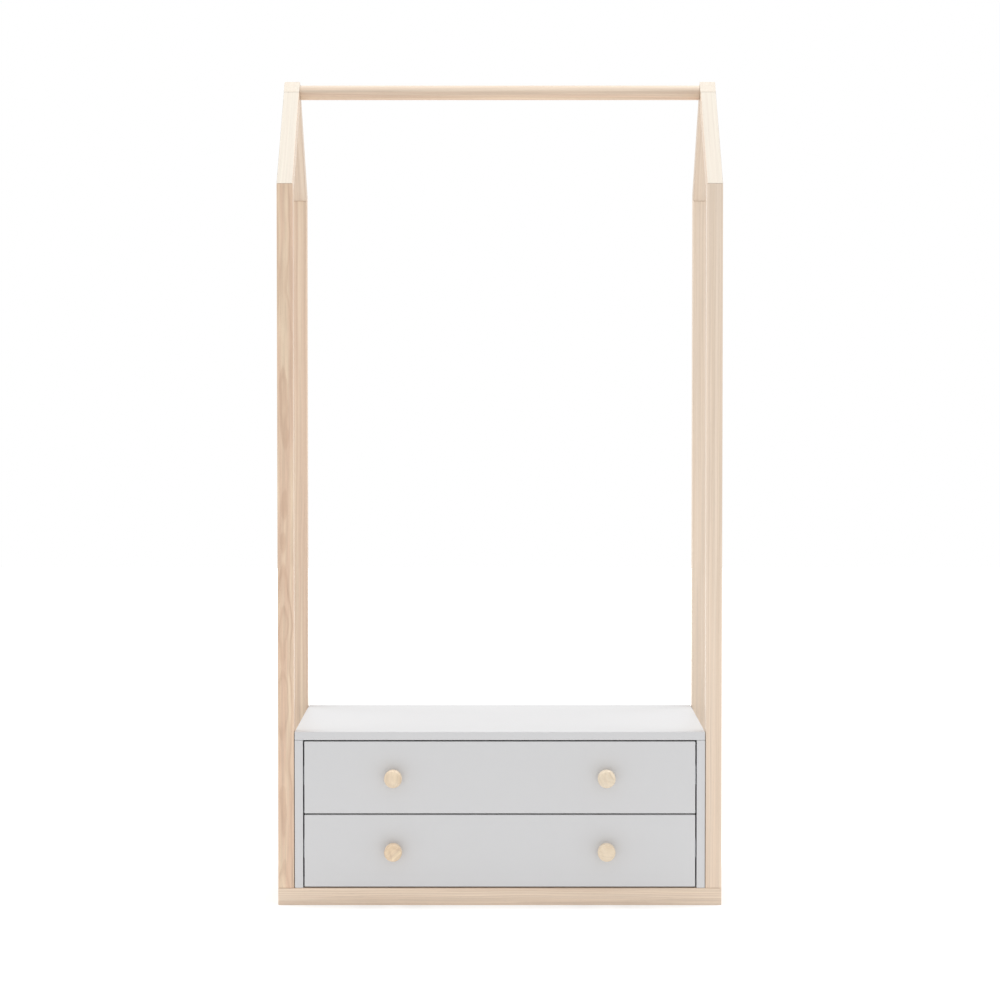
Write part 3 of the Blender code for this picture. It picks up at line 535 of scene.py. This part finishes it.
# the rear rafters: their shade paints the shade of their undersides along the whole length, and their sawn
# ends, facing up the front slope, are pale as a painted highlight, without that shade
rearRafter = dict(shade=0.875, endHighlightTone=0.05, endShade=1.0)
sawing = {
    "post_front_left": dict(
        bark=toFront, behind=26, beside=4, lean=6, tone=0.95, shade=0.98,
        wander=1.1, crooks=2.2, coarseness=1.5,
    ),
    "post_front_right": dict(
        bark=toLeft, behind=74, beside=9, lean=3, tone=0.4, underTone=0.55, wander=0.5
    ),
    "post_rear_left": dict(bark=toLeft, behind=60, beside=-6, lean=5, tone=0.8),
    "post_rear_right": dict(bark=toRight, behind=66, beside=8, lean=3, tone=0.42, wander=0.5),
    "rafter_front_left": dict(frontRafter, bark=toLeft, behind=80, beside=12, lean=4, shade=0.985),
    "rafter_front_right": dict(frontRafter, bark=toRight, behind=70, beside=-8, lean=5, shade=0.97),
    "rafter_rear_left": dict(rearRafter, bark=toLeft, behind=64, beside=6, lean=6, tone=0.55),
    "rafter_rear_right": dict(rearRafter, bark=toRight, behind=58, beside=-7, lean=4, tone=0.5),
    # darker along its lower edge, by the floor: painted shade
    "base_rail_front": dict(
        bark=(0, -0.5, 1), behind=46, beside=6, lean=5, tone=0.65, underTone=0.5, paintedShadeBelow=0.92,
        wander=1.2, coarseness=1.4,
    ),
    "base_rail_rear": dict(bark=toRear, behind=55, beside=-4, lean=9, tone=0.7),
    "base_rail_left": dict(bark=toLeft, behind=48, beside=5, lean=12, tone=0.75),
    "base_rail_right": dict(bark=toRight, behind=58, beside=-5, lean=10, tone=0.45),
    # paler on top, a painted highlight, and richer and darker below, painted shade
    "hanging_rail": dict(
        bark=toFront, behind=41, beside=-9, lean=7, tone=0.35, underTone=1.0, shade=0.94, paintedShadeBelow=0.9
    ),
}
logStarts = (1, 30)  # how many metres along its log a length may lie


def layInLog(piece, along, cut, seed, sawnEnd=None):
    # gives every point its place in the log: along it, and across and outwards from the pith
    cut = usualLog | cut
    along = Vector(along).normalized()
    bark = Vector(cut["bark"])
    bark = (bark - along * bark.dot(along)).normalized()
    across = along.cross(bark)
    points = [vertex.co for vertex in piece.data.vertices]
    middle = sum(points, Vector()) / len(points)
    start = random.Random(seed).uniform(*logStarts)
    top = max(point.z for point in points)
    height = top - min(point.z for point in points)
    toneFall = cut.get("underTone", cut["tone"]) - cut["tone"]
    paintedShadeFall = cut.get("paintedShadeBelow", cut["shade"]) - cut["shade"]
    places = []
    tones = []
    shades = []
    for point in points:
        step = point - middle
        run = step.dot(along)
        sideways = (cut["beside"] * mm + step.dot(across)) / cut["coarseness"]
        outwards = (cut["behind"] * mm + step.dot(bark) + cut["lean"] * mm * run) / cut["coarseness"]
        places.extend((start + run * cut["crooks"], sideways, outwards))
        # towards the lower edge: painted shade where less light reaches the underside, and the hanging
        # rail's paler top is a painted highlight
        fall = (top - point.z) / height
        tone = cut["tone"] + toneFall * fall
        shade = cut["shade"] + paintedShadeFall * fall
        # the front rafters' inner face keeps a richer tone outside their painted highlight
        if "innerTone" in cut:
            reach = (timberWidth / 2 - step.x * math.copysign(1, -middle.x)) / timberShape["round"]
            tone += (cut["innerTone"] - cut["tone"]) * max(0, 1 - reach)
        # the sawn end: pale on the rear rafters as a painted highlight, with a darker seam on the front
        # ones
        if sawnEnd and abs((point - sawnEnd[0]).dot(sawnEnd[1])) < timberShape["endSkin"] / 2:
            tone = cut.get("endHighlightTone", cut["tone"])
            shade = cut.get("endShade", cut["shade"])
        tones.append(tone)
        shades.append(shade)
    attributes = piece.data.attributes
    attributes.new("logPlace", "FLOAT_VECTOR", "POINT").data.foreach_set("vector", places)
    wanders = [cut["wander"]] * len(points)
    for name, values in (("boardToneAndHighlight", tones), ("boardAndPaintedShade", shades), ("boardWander", wanders)):
        attributes.new(name, "FLOAT", "POINT").data.foreach_set("value", values)


railBolt = {
    "headRadius": 6.5 * mm,
    "headHeight": 3 * mm,
    "headEdge": ((0.9 * mm, 0), (0.35 * mm, 0.2 * mm), (0, 0.7 * mm)),  # in from the rim, down from the top
    "sink": 0.5 * mm,
    "shankRadius": 3 * mm,
    "rootShare": 0.85,  # of the shank's radius, between its threads
    "pitch": 1.5 * mm,
    "pointLength": 2 * mm,
    "bite": 40 * mm,  # into the hanging rail
    "steps": 40,
}
postScrew = {
    "headRadius": 4.8 * mm,
    "headHeight": 4 * mm,
    "headEdge": ((0.4 * mm, 0), (0, 0.4 * mm)),
    "sink": 0.5 * mm,
    "shankRadius": 2.5 * mm,
    "rootShare": 0.7,
    "pitch": 2.2 * mm,
    "pointLength": 6 * mm,
    "bite": 38 * mm,
    "steps": 32,
}


def addBore(fastener, start, end, part="shankRadius"):
    # what cuts the room for a fastener's shank or head, with play round it
    return addRod("bore", start, end, fastener[part] + hairline, fastener["steps"])


def boreFor(piece, fastener, surface, direction, reach):
    # a stepped bore for a sunk head, in from the surface
    surface, direction = Vector(surface), Vector(direction)
    seat = fastener["headHeight"] + fastener["sink"] + hairline
    for part, depth in (("headRadius", seat), ("shankRadius", reach)):
        mouth, end = surface - direction * overrun, surface + direction * depth
        cutAway(piece, addBore(fastener, mouth, end, part))


def makeTimber(node, seed, size, along, place, mitre=None, sawnEnd=None, bores=()):
    # squared stock about its own middle, put in place, sawn off, rounded along its length and bored
    half = Vector(size) / 2
    piece = addBlock(node + "_pine", -half, half)
    piece.matrix_world = place
    bpy.ops.object.transform_apply(location=True, rotation=True, scale=True)
    openEdit(piece)
    for spot, outward in filter(None, (mitre, sawnEnd)):
        pickAll()
        bpy.ops.mesh.bisect(plane_co=spot, plane_no=outward, use_fill=True, clear_outer=True)
        pickAll()
        bpy.ops.mesh.bisect(plane_co=spot - outward * timberShape["endSkin"], plane_no=outward)
    along = Vector(along).normalized()
    pickSome(piece, "edges", lambda edge: runsAlong(edge, along))
    bpy.ops.mesh.bevel(offset=timberShape["round"], segments=timberShape["roundSteps"], affect="EDGES")
    closeEdit()
    softenEdges(piece, *timberShape["sawnEdge"])
    for bore in bores:
        boreFor(piece, *bore)
    layInLog(piece, along, sawing[node], seed, sawnEnd)
    handIn(piece, lacqueredPine, "frame", node)


def mitreAt(sign, y, inward):
    # the eave's outer edge, and the upward normal of the mitre between post and rafter there
    halfTurn = (quarterTurn - roofAngle) / 2
    mitreUp = Vector((0, inward * math.sin(halfTurn), math.cos(halfTurn)))
    return Vector((sign * postMiddle, y, eaveZ)), mitreUp


def makePosts():
    foot = baseTop + hairline
    size = (timberWidth, timberWidth, eaveZ - foot)
    for end, side, sign, y, inward in corners:
        eave, mitreUp = mitreAt(sign, y, inward)
        place = Matrix.Translation((sign * postMiddle, y + inward * timberWidth / 2, (foot + eaveZ) / 2))
        mitre = (eave - mitreUp * hairline / 2, mitreUp)
        makeTimber(f"post_{end}_{side}", f"post {end} {side}", size, (0, 0, 1), place, mitre)


def makeRafters():
    # the rear rafter runs through to the front slope, and the front one butts against it
    for end, side, sign, y, inward in corners:
        eave, mitreUp = mitreAt(sign, y, inward)
        ridge = Vector((sign * postMiddle, ridgeY, ridgeZ))
        slopeOut = Vector((0, -inward * math.sin(roofAngle), math.cos(roofAngle)))
        otherSlopeOut = Vector((0, -slopeOut.y, slopeOut.z))
        middle = (eave + ridge) / 2 - slopeOut * timberWidth / 2
        tilt = Matrix.Rotation(-inward * (quarterTurn - roofAngle), 4, "X")
        setback = timberWidth + hairline if end == "front" else 0
        bores = []
        if end == "rear":
            bores.append((railBolt, onRail(sign * halfWidth), (-sign, 0, 0), timberWidth + overrun))
        makeTimber(
            f"rafter_{end}_{side}",
            f"rafter {end} {side}",
            (timberWidth, timberWidth, (ridge - eave).length + timberWidth * 2),
            ridge - eave,
            Matrix.Translation(middle) @ tilt,
            (eave + mitreUp * hairline / 2, -mitreUp),
            (ridge - otherSlopeOut * setback, otherSlopeOut),
            bores,
        )


def makeBase():
    up = (0, 0, 1)
    for end, y, inward in ends:
        rowY = y + inward * timberWidth / 2
        bores = [(postScrew, (sign * postMiddle, rowY, 0), up, baseTop + overrun) for side, sign in sides]
        size = (halfWidth * 2, timberWidth, baseTop)
        place = Matrix.Translation((0, rowY, baseTop / 2))
        makeTimber(f"base_rail_{end}", f"base {end}", size, (1, 0, 0), place, bores=bores)
    sideLength = rearY - frontY - timberWidth * 2 - hairline * 2
    for side, sign in sides:
        size = (timberWidth, sideLength, baseTop)
        place = Matrix.Translation((sign * postMiddle, ridgeY, baseTop / 2))
        makeTimber(f"base_rail_{side}", f"base {side}", size, (0, 1, 0), place)


def makeHangingRail():
    low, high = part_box("hanging_rail")
    radius = (high.z - low.z) / 2
    rail = addRod("hanging_rail_pine", onRail(low.x), onRail(high.x), radius, timberShape["railSteps"])
    softenEdges(rail, *timberShape["railEdge"])
    for side, sign in sides:
        mouth, deep = sign * (high.x + overrun), sign * (high.x - railBolt["bite"])
        cutAway(rail, addBore(railBolt, onRail(mouth), onRail(deep)))
    layInLog(rail, (1, 0, 0), sawing["hanging_rail"], "hanging rail")
    handIn(rail, lacqueredPine, "frame", "hanging_rail")


makePosts()
makeRafters()
makeBase()
makeHangingRail()
print("timber frame made")


# Boards of the cabinet and the drawer boxes

lacquered = dict(look="lacquered", finish=greyLacquer, slot="grey_lacquer", round=1.2 * mm, steps=4)
thinLacquered = dict(lacquered, round=0.25 * mm, steps=2)
melamine = dict(look="melamine", finish=whiteMelamine, slot="white_board", round=0.5 * mm, steps=2)
hardboard = dict(look="hardboard", finish=paintedHardboard, slot="hardboard", round=0.25 * mm, steps=2)


def makeBoard(node, kind, body, low, high, cutters=()):
    board = addBlock(node + "_" + kind["look"], low, high)
    softenEdges(board, kind["round"], kind["steps"])
    cutAway(board, *cutters)
    handIn(board, kind["finish"], body, node)


def addGroove(panelNode, board=None, through=None):
    # what cuts a thin panel's seat, with play round it; a board is cut right through along one axis
    low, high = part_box(panelNode)
    around = Vector((hairline, hairline, hairline))
    low, high = low - around, high + around
    if board:
        low[through] = board[0][through] - overrun
        high[through] = board[1][through] + overrun
    return addBlock("groove", low, high)


def makeCase(sideNode, crossNode, panelNode, kind, crossKind, body, trim, through):
    # two sides, cut back by trim, with a board between them and grooves for the panel in all three
    inside = {}
    for side, sign in sides:
        low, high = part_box(sideNode + side)
        trim(low, high)
        inside[side] = high.x if sign < 0 else low.x
        makeBoard(sideNode + side, kind, body, low, high, [addGroove(panelNode, (low, high), through)])
    low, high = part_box(crossNode)
    low.x = inside["left"] + hairline
    high.x = inside["right"] - hairline
    makeBoard(crossNode, crossKind, body, low, high, [addGroove(panelNode, (low, high), 0)])
    makeBoard(panelNode, hardboard, body, *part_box(panelNode))


def makeCabinet():
    topLow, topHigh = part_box("cabinet_top")

    def underTop(low, high):
        high.z = topLow.z - hairline

    makeBoard("cabinet_top", lacquered, "frame", topLow, topHigh, [addGroove("cabinet_back")])
    makeCase(
        "cabinet_side_", "cabinet_bottom", "cabinet_back", lacquered, thinLacquered, "frame", underTop, 2
    )


def makeDrawerBox(drawer):
    box = f"{drawer}_drawer"
    frontLow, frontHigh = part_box(box + "_front")
    cutters = [addGroove(box + "_bottom")]
    for side, sign in sides:
        spot = middleOf(f"{drawer}_knob_{side}")
        mouth = (spot.x, frontLow.y - overrun, spot.z)
        far = (spot.x, frontHigh.y + overrun, spot.z)
        cutters.append(addBore(panScrew, mouth, far))

    def behindFront(low, high):
        low.y = frontHigh.y + hairline

    makeBoard(box + "_front", lacquered, box, frontLow, frontHigh, cutters)
    makeCase(box + "_side_", box + "_back", box + "_bottom", melamine, melamine, box, behindFront, 1)


# Screws and bolts, each modelled once about its own axis: head underside at 0, point along +Z

panScrew = {
    "headRadius": 3.5 * mm,
    "headHeight": 1.5 * mm,
    "headEdge": quarterRound(0.9 * mm, 4),
    "shankRadius": 1.75 * mm,
    "rootShare": 0.72,
    "pitch": 1.3 * mm,
    "pointLength": 4 * mm,
    "steps": 24,
}
threadShares = {"root": 0.3, "crest": 0.75}  # of the pitch, from where the thread starts
crossRecess = {"reach": 1.9 * mm, "width": 0.75 * mm, "depth": 1.1 * mm}
hexSocket = {"radius": 2.4 * mm, "depth": 1.9 * mm, "sides": 6}


def turnScrew(name, shape, length):
    # a head, a plain collar, then threads down to the point
    rim, top = shape["headRadius"], -shape["headHeight"]
    crest, pitch = shape["shankRadius"], shape["pitch"]
    root = crest * shape["rootShare"]
    tip = length - shape["pointLength"]
    points = [(0, top)]
    points += [(rim - inset, top + drop) for inset, drop in shape["headEdge"]]
    points += [(rim, 0), (crest, 0), (crest, pitch)]
    height = pitch
    while height < tip:
        points.append((root, height + pitch * threadShares["root"]))
        points.append((crest, height + pitch * threadShares["crest"]))
        height += pitch
    points += [(root, tip), (0, length)]
    return turnProfile(name, points, shape["steps"])


def crossScrew(name, shape, length):
    screw = turnScrew(name, shape, length)
    top, reach, half = -shape["headHeight"], crossRecess["reach"], crossRecess["width"] / 2
    for a, b in ((reach, half), (half, reach)):
        cutAway(screw, addBlock("recess", (-a, -b, top - overrun), (a, b, top + crossRecess["depth"])))
    return screw


def socketBolt(name, shape, length):
    bolt = turnScrew(name, shape, length)
    top = -shape["headHeight"]
    start, end = (0, 0, top - overrun), (0, 0, top + hexSocket["depth"])
    cutAway(bolt, addRod("socket", start, end, hexSocket["radius"], hexSocket["sides"]))
    return bolt


def placeScrews(master, places):
    # places: (node, where the head sits, direction, body)
    for node, spot, direction, body in places:
        screw = copyPiece(master, node + "_zinc", pointing(spot, direction))
        handIn(screw, brightZinc, body, node)
    bpy.data.objects.remove(master)


def placePanScrews(places):
    # places: (node, direction, body); the length and the seats come from the solids they replace
    seats = []
    for node, direction, body in places:
        low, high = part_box(node)
        direction = Vector(direction)
        length = abs((high - low).dot(direction)) - panScrew["headHeight"]
        back = (length - panScrew["headHeight"]) / 2
        seats.append((node, middleOf(node) - direction * back, direction, body))
    placeScrews(crossScrew("panScrew", panScrew, length), seats)


def makeFasteners():
    railSeat = railBolt["headHeight"] + railBolt["sink"]
    postSeat = postScrew["headHeight"] + postScrew["sink"]
    railBolts, postScrews, cabinetScrews, knobScrews = [], [], [], []
    for side, sign in sides:
        spot = onRail(sign * (halfWidth - railSeat))
        railBolts.append((f"rail_bolt_{side}", spot, (-sign, 0, 0), "frame"))
    for end, side, sign, y, inward in corners:
        spot = (sign * postMiddle, y + inward * timberWidth / 2, postSeat)
        postScrews.append((f"post_screw_{end}_{side}", spot, (0, 0, 1), "frame"))
        cabinetScrews.append((f"cabinet_screw_{end}_{side}", (sign, 0, 0), "frame"))
    for drawer in drawerNames:
        for side, sign in sides:
            knobScrews.append((f"{drawer}_knob_screw_{side}", (0, -1, 0), f"{drawer}_drawer"))
    placeScrews(socketBolt("railBolt", railBolt, timberWidth - railSeat + railBolt["bite"]), railBolts)
    placeScrews(crossScrew("postScrew", postScrew, baseTop - postSeat + postScrew["bite"]), postScrews)
    placePanScrews(cabinetScrews)
    placePanScrews(knobScrews)


# Knobs: a thick round head on a narrower neck, turned from one piece

knobShape = {
    "headLength": 19 * mm,
    "neckRadius": 9.5 * mm,
    "footRadius": 11 * mm,
    "edgeRound": 5 * mm,
    "underRound": 1.75 * mm,
    "roundSteps": 9,
    "dome": 1.6 * mm,
    "domeSteps": 6,
    "coveSteps": 8,
    "coveShare": 0.6,
    "steps": 96,
}
# turn: degrees between the grain and the floor. The rest as for the timber. Each knob is darker
# towards its bottom: painted shade under its lit top rim.
knobGrain = {
    "lower_knob_left": dict(turn=42, behind=17, beside=3, tone=0.75, shade=0.98, paintedShadeBelow=0.96),
    "lower_knob_right": dict(turn=-8, behind=20, beside=-4, tone=0.38, paintedShadeBelow=0.93),
    "upper_knob_left": dict(turn=86, behind=20, beside=2, tone=0.5, paintedShadeBelow=0.91),
    "upper_knob_right": dict(turn=118, behind=26, beside=5, tone=0.25, shade=1.02, paintedShadeBelow=0.95),
}


def knobOutline(radius, length):
    rim = length - knobShape["dome"]
    flat = radius - knobShape["edgeRound"]
    points = []
    for share in evenShares(knobShape["domeSteps"]):
        points.append((flat * share, rim + knobShape["dome"] * (1 - share ** 2)))
    edge = quarterRound(knobShape["edgeRound"], knobShape["roundSteps"])
    points += [(radius - inset, rim - drop) for inset, drop in edge[1:]]
    headBack = length - knobShape["headLength"]
    under = quarterRound(knobShape["underRound"], knobShape["roundSteps"])
    points += [(radius - inset, headBack + rise) for inset, rise in reversed(under)]
    neck, foot = knobShape["neckRadius"], knobShape["footRadius"]
    for share in evenShares(knobShape["coveSteps"]):  # the neck's hollow, narrowest near the head
        swell = share + knobShape["coveShare"] * (2 * share - 1) ** 2 * (1 - share)
        points.append((neck + (foot - neck) * swell, headBack * (1 - share)))
    points.append((0, 0))
    return points


def makeKnobs():
    low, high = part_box("lower_knob_left")
    knob = turnProfile("knob", knobOutline((high.x - low.x) / 2, high.y - low.y), knobShape["steps"])
    for drawer in drawerNames:
        for side, sign in sides:
            node = f"{drawer}_knob_{side}"
            spot = middleOf(node)
            spot.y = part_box(f"{drawer}_drawer_front")[0].y - hairline
            piece = copyPiece(knob, node + "_pine", pointing(spot, (0, -1, 0)))
            deep = (spot.x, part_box(f"{drawer}_knob_screw_{side}")[0].y - hairline, spot.z)
            mouth = (spot.x, spot.y + overrun, spot.z)
            cutAway(piece, addBore(panScrew, mouth, deep))
            grain = dict(knobGrain[node], bark=toFront, lean=60)
            angle = math.radians(grain["turn"])
            layInLog(piece, (math.cos(angle), 0, math.sin(angle)), grain, node)
            handIn(piece, turnedPine, f"{drawer}_drawer", node)
    bpy.data.objects.remove(knob)


# Ball-bearing slides, modelled once at the lower drawer's left side. At: from the cabinet's side
# towards the drawer. Heights: from the slide's middle.

slideSteel = {
    "thickness": 1.2 * mm,
    "foldRound": 1.5 * mm,
    "foldSteps": 4,
    "shadeAngle": 30,
    "holeRadius": 2.1 * mm,
    "holeSteps": 20,
    "holeSpacing": 32 * mm,
    "holeClear": 10.7 * mm,  # from a hole's middle to a screw or to the member's end
    "screwEndShare": 0.15,  # of the drawer's member, from its end to its screw
}
cabinetMember = {
    "webAt": 0.3 * mm,
    "lipAt": 10.4 * mm,
    "lipHeight": 15.2 * mm,
    "halfHeight": 17.5 * mm,
    "screwBite": 12 * mm,
    "stopReach": 11.92 * mm,
    "stopHalfHeight": 8 * mm,
    "stopSetback": 2 * mm,
    "stopEdge": (0.3 * mm, 2),
}
drawerMember = {
    "webAt": 12.4 * mm,
    "edgeAt": 5.1 * mm,
    "halfHeight": 12.5 * mm,
    "screwBite": 9.9 * mm,
}
ballCage = {
    "thickness": 0.8 * mm,
    "foldRound": 1.0 * mm,
    "webAt": 3.7 * mm,
    "edgeAt": 9.8 * mm,
    "halfHeight": 14.8 * mm,
    "ball": {"radius": 1.6 * mm, "segments": 20, "ring_count": 12},
    "ballAt": 7.0 * mm,
    "ballUp": 14.4 * mm,
    "balls": 5,
    "holePlay": 0.15 * mm,
    "windowUp": 5 * mm,  # half the height of the openings pressed in the cage's web
    "windowShare": 0.25,  # half their length, of the way from ball to ball
}
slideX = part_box("cabinet_side_left")[1].x
slideZ = middleOf("lower_slide_cabinet_member_left").z
screwedLow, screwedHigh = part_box("lower_slide_drawer_member_left")
screwInset = (screwedHigh.y - screwedLow.y) * slideSteel["screwEndShare"]
screwPlaces = (screwedLow.y + screwInset, screwedHigh.y - screwInset)


def foldStrip(node, upper, thickness, foldRound):
    # sheet steel folded along its length; upper: (across, up), the outside corners of its upper half
    low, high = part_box(node)
    section = [*upper, *((across, -up) for across, up in reversed(upper))]
    points = [Vector((slideX + across, low.y, slideZ + up)) for across, up in section]
    strip = drawProfile("strip", points)
    bpy.ops.mesh.select_mode(type="EDGE")
    pickAll()
    bpy.ops.mesh.extrude_region_move(TRANSFORM_OT_translate={"value": (0, high.y - low.y, 0)})

    def onFold(edge):
        spot = edge.verts[0].co
        gap = min((Vector((fold.x, spot.y, fold.z)) - spot).length for fold in points[1:-1])
        return gap < closeBy and runsAlong(edge, Vector((0, 1, 0)))

    pickSome(strip, "edges", onFold)
    bpy.ops.mesh.bevel(offset=foldRound, segments=slideSteel["foldSteps"], affect="EDGES")
    pickAll()
    bpy.ops.mesh.normals_make_consistent(inside=False)
    hub = sum(points, Vector()) / len(points)
    faces = bmesh.from_edit_mesh(strip.data).faces
    if sum(face.normal.dot(face.calc_center_median() - hub) * face.calc_area() for face in faces) < 0:
        bpy.ops.mesh.flip_normals()
    closeEdit()
    applyModifier(strip, "SOLIDIFY", thickness=thickness, offset=-1, use_even_offset=True)
    return strip


def makeMember(node, upper, shape, direction, extras=()):
    # punched with round holes and slots by turns, clear of its screws, which point in the direction
    steel, clear = slideSteel["thickness"], slideSteel["holeClear"]
    webX = slideX + shape["webAt"]
    member = foldStrip(node, upper, steel, slideSteel["foldRound"])
    low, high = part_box(node)
    cutters = []
    y = low.y + slideSteel["holeSpacing"] / 2
    while y < high.y - clear:
        if min(abs(y - place) for place in screwPlaces) > clear:
            slot = slideSteel["holeRadius"] * (len(cutters) % 2)
            start, end = (webX - overrun, y - slot, slideZ), (webX + overrun, y - slot, slideZ)
            cutters.append(addRod("hole", start, end, slideSteel["holeRadius"], slideSteel["holeSteps"]))
            if slot:
                openEdit(cutters[-1], "VERT")
                pickSome(cutters[-1], "verts", lambda vert: vert.co.y > y - slot + closeBy)
                bpy.ops.transform.translate(value=(0, slot * 2, 0))
                closeEdit()
        y += slideSteel["holeSpacing"]
    cutAway(member, joinPieces("holes", cutters))
    screw = crossScrew("slideScrew", panScrew, shape["screwBite"] + steel)
    screws = []
    for place in screwPlaces:
        seat = (webX - direction * steel, place, slideZ)
        screws.append(copyPiece(screw, "slideScrew", pointing(seat, (direction, 0, 0))))
    bpy.data.objects.remove(screw)
    return joinPieces("member", [member, *extras, *screws])


def makeCabinetMember(node):
    # with the stop that the drawer's member closes on
    shape, steel = cabinetMember, slideSteel["thickness"]
    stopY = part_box(node)[1].y - shape["stopSetback"]
    low = (slideX + shape["webAt"] + steel / 2, stopY - steel, slideZ - shape["stopHalfHeight"])
    stop = addBlock("stop", low, (slideX + shape["stopReach"], stopY, slideZ + shape["stopHalfHeight"]))
    softenEdges(stop, *shape["stopEdge"])
    lip, half = shape["lipAt"], shape["halfHeight"]
    upper = [(lip, shape["lipHeight"]), (lip, half), (shape["webAt"], half)]
    return makeMember(node, upper, shape, -1, [stop])


def makeDrawerMember(node):
    half = drawerMember["halfHeight"]
    upper = [(drawerMember["edgeAt"], half), (drawerMember["webAt"], half)]
    return makeMember(node, upper, drawerMember, 1)


def makeBallCage(node):
    low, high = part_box(node)
    web, half = ballCage["webAt"], ballCage["halfHeight"]
    upper = [(ballCage["edgeAt"], half), (web, half)]
    cage = foldStrip(node, upper, ballCage["thickness"], ballCage["foldRound"])
    spacing = (high.y - low.y) / ballCage["balls"]
    reach = Vector((0, 0, overrun))
    cutters = []
    balls = []
    for number in range(ballCage["balls"]):
        for up in (-1, 1):
            y = low.y + spacing * (number + 0.5)
            centre = Vector((slideX + ballCage["ballAt"], y, slideZ + up * ballCage["ballUp"]))
            bore = ballCage["ball"]["radius"] + ballCage["holePlay"]
            cutters.append(addRod("hole", centre - reach, centre + reach, bore, slideSteel["holeSteps"]))
            pickNothing()
            bpy.ops.mesh.primitive_uv_sphere_add(location=centre, **ballCage["ball"])
            balls.append(settled("ball"))
    reach = Vector((overrun, spacing * ballCage["windowShare"], ballCage["windowUp"]))
    for number in range(1, ballCage["balls"]):
        centre = Vector((slideX + web, low.y + spacing * number, slideZ))
        cutters.append(addBlock("window", centre - reach, centre + reach))
    cutAway(cage, joinPieces("cageCuts", cutters))
    return joinPieces("cage", [cage, *balls])


def makeSlides():
    masters = (
        (makeCabinetMember("lower_slide_cabinet_member_left"), "slide_cabinet_member", "frame"),
        (makeDrawerMember("lower_slide_drawer_member_left"), "slide_drawer_member", "{}_drawer"),
        (makeBallCage("lower_ball_cage_left"), "ball_cage", "{}_ball_cages"),
    )
    for drawer in drawerNames:
        rise = middleOf(f"{drawer}_slide_cabinet_member_left").z - slideZ
        for side, sign in sides:
            place = Matrix.Translation((0, 0, rise)) @ Matrix.Diagonal((-sign, 1, 1, 1))
            for master, kind, body in masters:
                node = f"{drawer}_{kind}_{side}"
                piece = copyPiece(master, node + "_zinc", place)
                handIn(piece, brightZinc, body.format(drawer), node, slideSteel["shadeAngle"])
    for master, kind, body in masters:
        bpy.data.objects.remove(master)


makeCabinet()
for drawerName in drawerNames:
    makeDrawerBox(drawerName)
print("cabinet and drawer boxes made")
makeKnobs()
makeFasteners()
print("knobs and fasteners made")
makeSlides()
print("slides made")


# Floor, lights and background

studio = {
    "floorSize": 16,
    "floorColour": "#ECECEC",
    # the floor glows like a studio's light table. glow: what lights the wardrobe. lift: what the
    # camera sees. Both from one metre away, where the shadow lies, to four.
    "glow": {"From Min": 1, "From Max": 4, "To Min": 0.22, "To Max": 0},
    "lift": {"From Min": 1, "From Max": 4, "To Min": 0.22, "To Max": 0.7},
    "skyLight": 0.74,
    "lampSpots": ((-3.6, 0.7, 10.0), (3.6, 0.7, 10.0)),
    "lampTarget": (0, 0, 0.6),
    "lampSize": 4.0,
    "lampPower": 320,
}


def addFloor():
    pickNothing()
    bpy.ops.mesh.primitive_plane_add(size=studio["floorSize"], location=(0, 0, 0))
    floor = named(bpy.context.object, "studioFloor")
    material, tree = newMaterial("paleStudioFloor")
    rays = addNode(tree, "LightPath").outputs
    place = addNode(tree, "TexCoord").outputs["Object"]
    distance = addNode(tree, "VectorMath", {"operation": "LENGTH"}, {0: place}).outputs["Value"]
    glow = addNode(tree, "MapRange", studio["glow"], {"Value": distance})
    lift = addNode(tree, "MapRange", studio["lift"], {"Value": distance})
    eyes = {0: rays["Is Camera Ray"], 1: rays["Is Glossy Ray"]}
    seen = addNode(tree, "Math", {"operation": "MAXIMUM"}, eyes)
    strength = addNode(tree, "MapRange", links={"Value": seen, "To Min": glow, "To Max": lift})
    matt = addNode(tree, "BsdfDiffuse", {"Color": linearColour(studio["floorColour"])})
    light = addNode(tree, "Emission", {"Color": (1, 1, 1, 1)}, {"Strength": strength})
    both = addNode(tree, "AddShader", links={0: matt, 1: light})
    addNode(tree, "OutputMaterial", links={"Surface": both})
    floor.data.materials.append(material)


def addLights():
    world = bpy.data.worlds.new("studioSky")
    bpy.context.scene.world = world
    world.use_nodes = True
    tree = world.node_tree
    tree.nodes.clear()
    rays = addNode(tree, "LightPath").outputs
    seen = rays["Is Camera Ray"]
    for ray in ("Is Glossy Ray", "Is Transmission Ray"):
        seen = addNode(tree, "Math", {"operation": "MAXIMUM"}, {0: seen, 1: rays[ray]})
    strength = addNode(tree, "MapRange", {"To Min": studio["skyLight"], "To Max": 1.0}, {"Value": seen})
    sky = addNode(tree, "Background", {"Color": (1, 1, 1, 1)}, {"Strength": strength})
    addNode(tree, "OutputWorld", links={"Surface": sky})

    for spot in studio["lampSpots"]:
        lamp = bpy.data.objects.new("softbox", bpy.data.lights.new("softbox", "AREA"))
        bpy.context.scene.collection.objects.link(lamp)
        lamp.location = spot
        aim = Vector(studio["lampTarget"]) - Vector(spot)
        lamp.rotation_euler = aim.to_track_quat("-Z", "Y").to_euler()
        lamp.data.shape = "SQUARE"
        lamp.data.size = studio["lampSize"]
        lamp.data.energy = studio["lampPower"]


addFloor()
addLights()
bpy.context.scene.view_settings.view_transform = "Standard"
print("floor and lights in place")
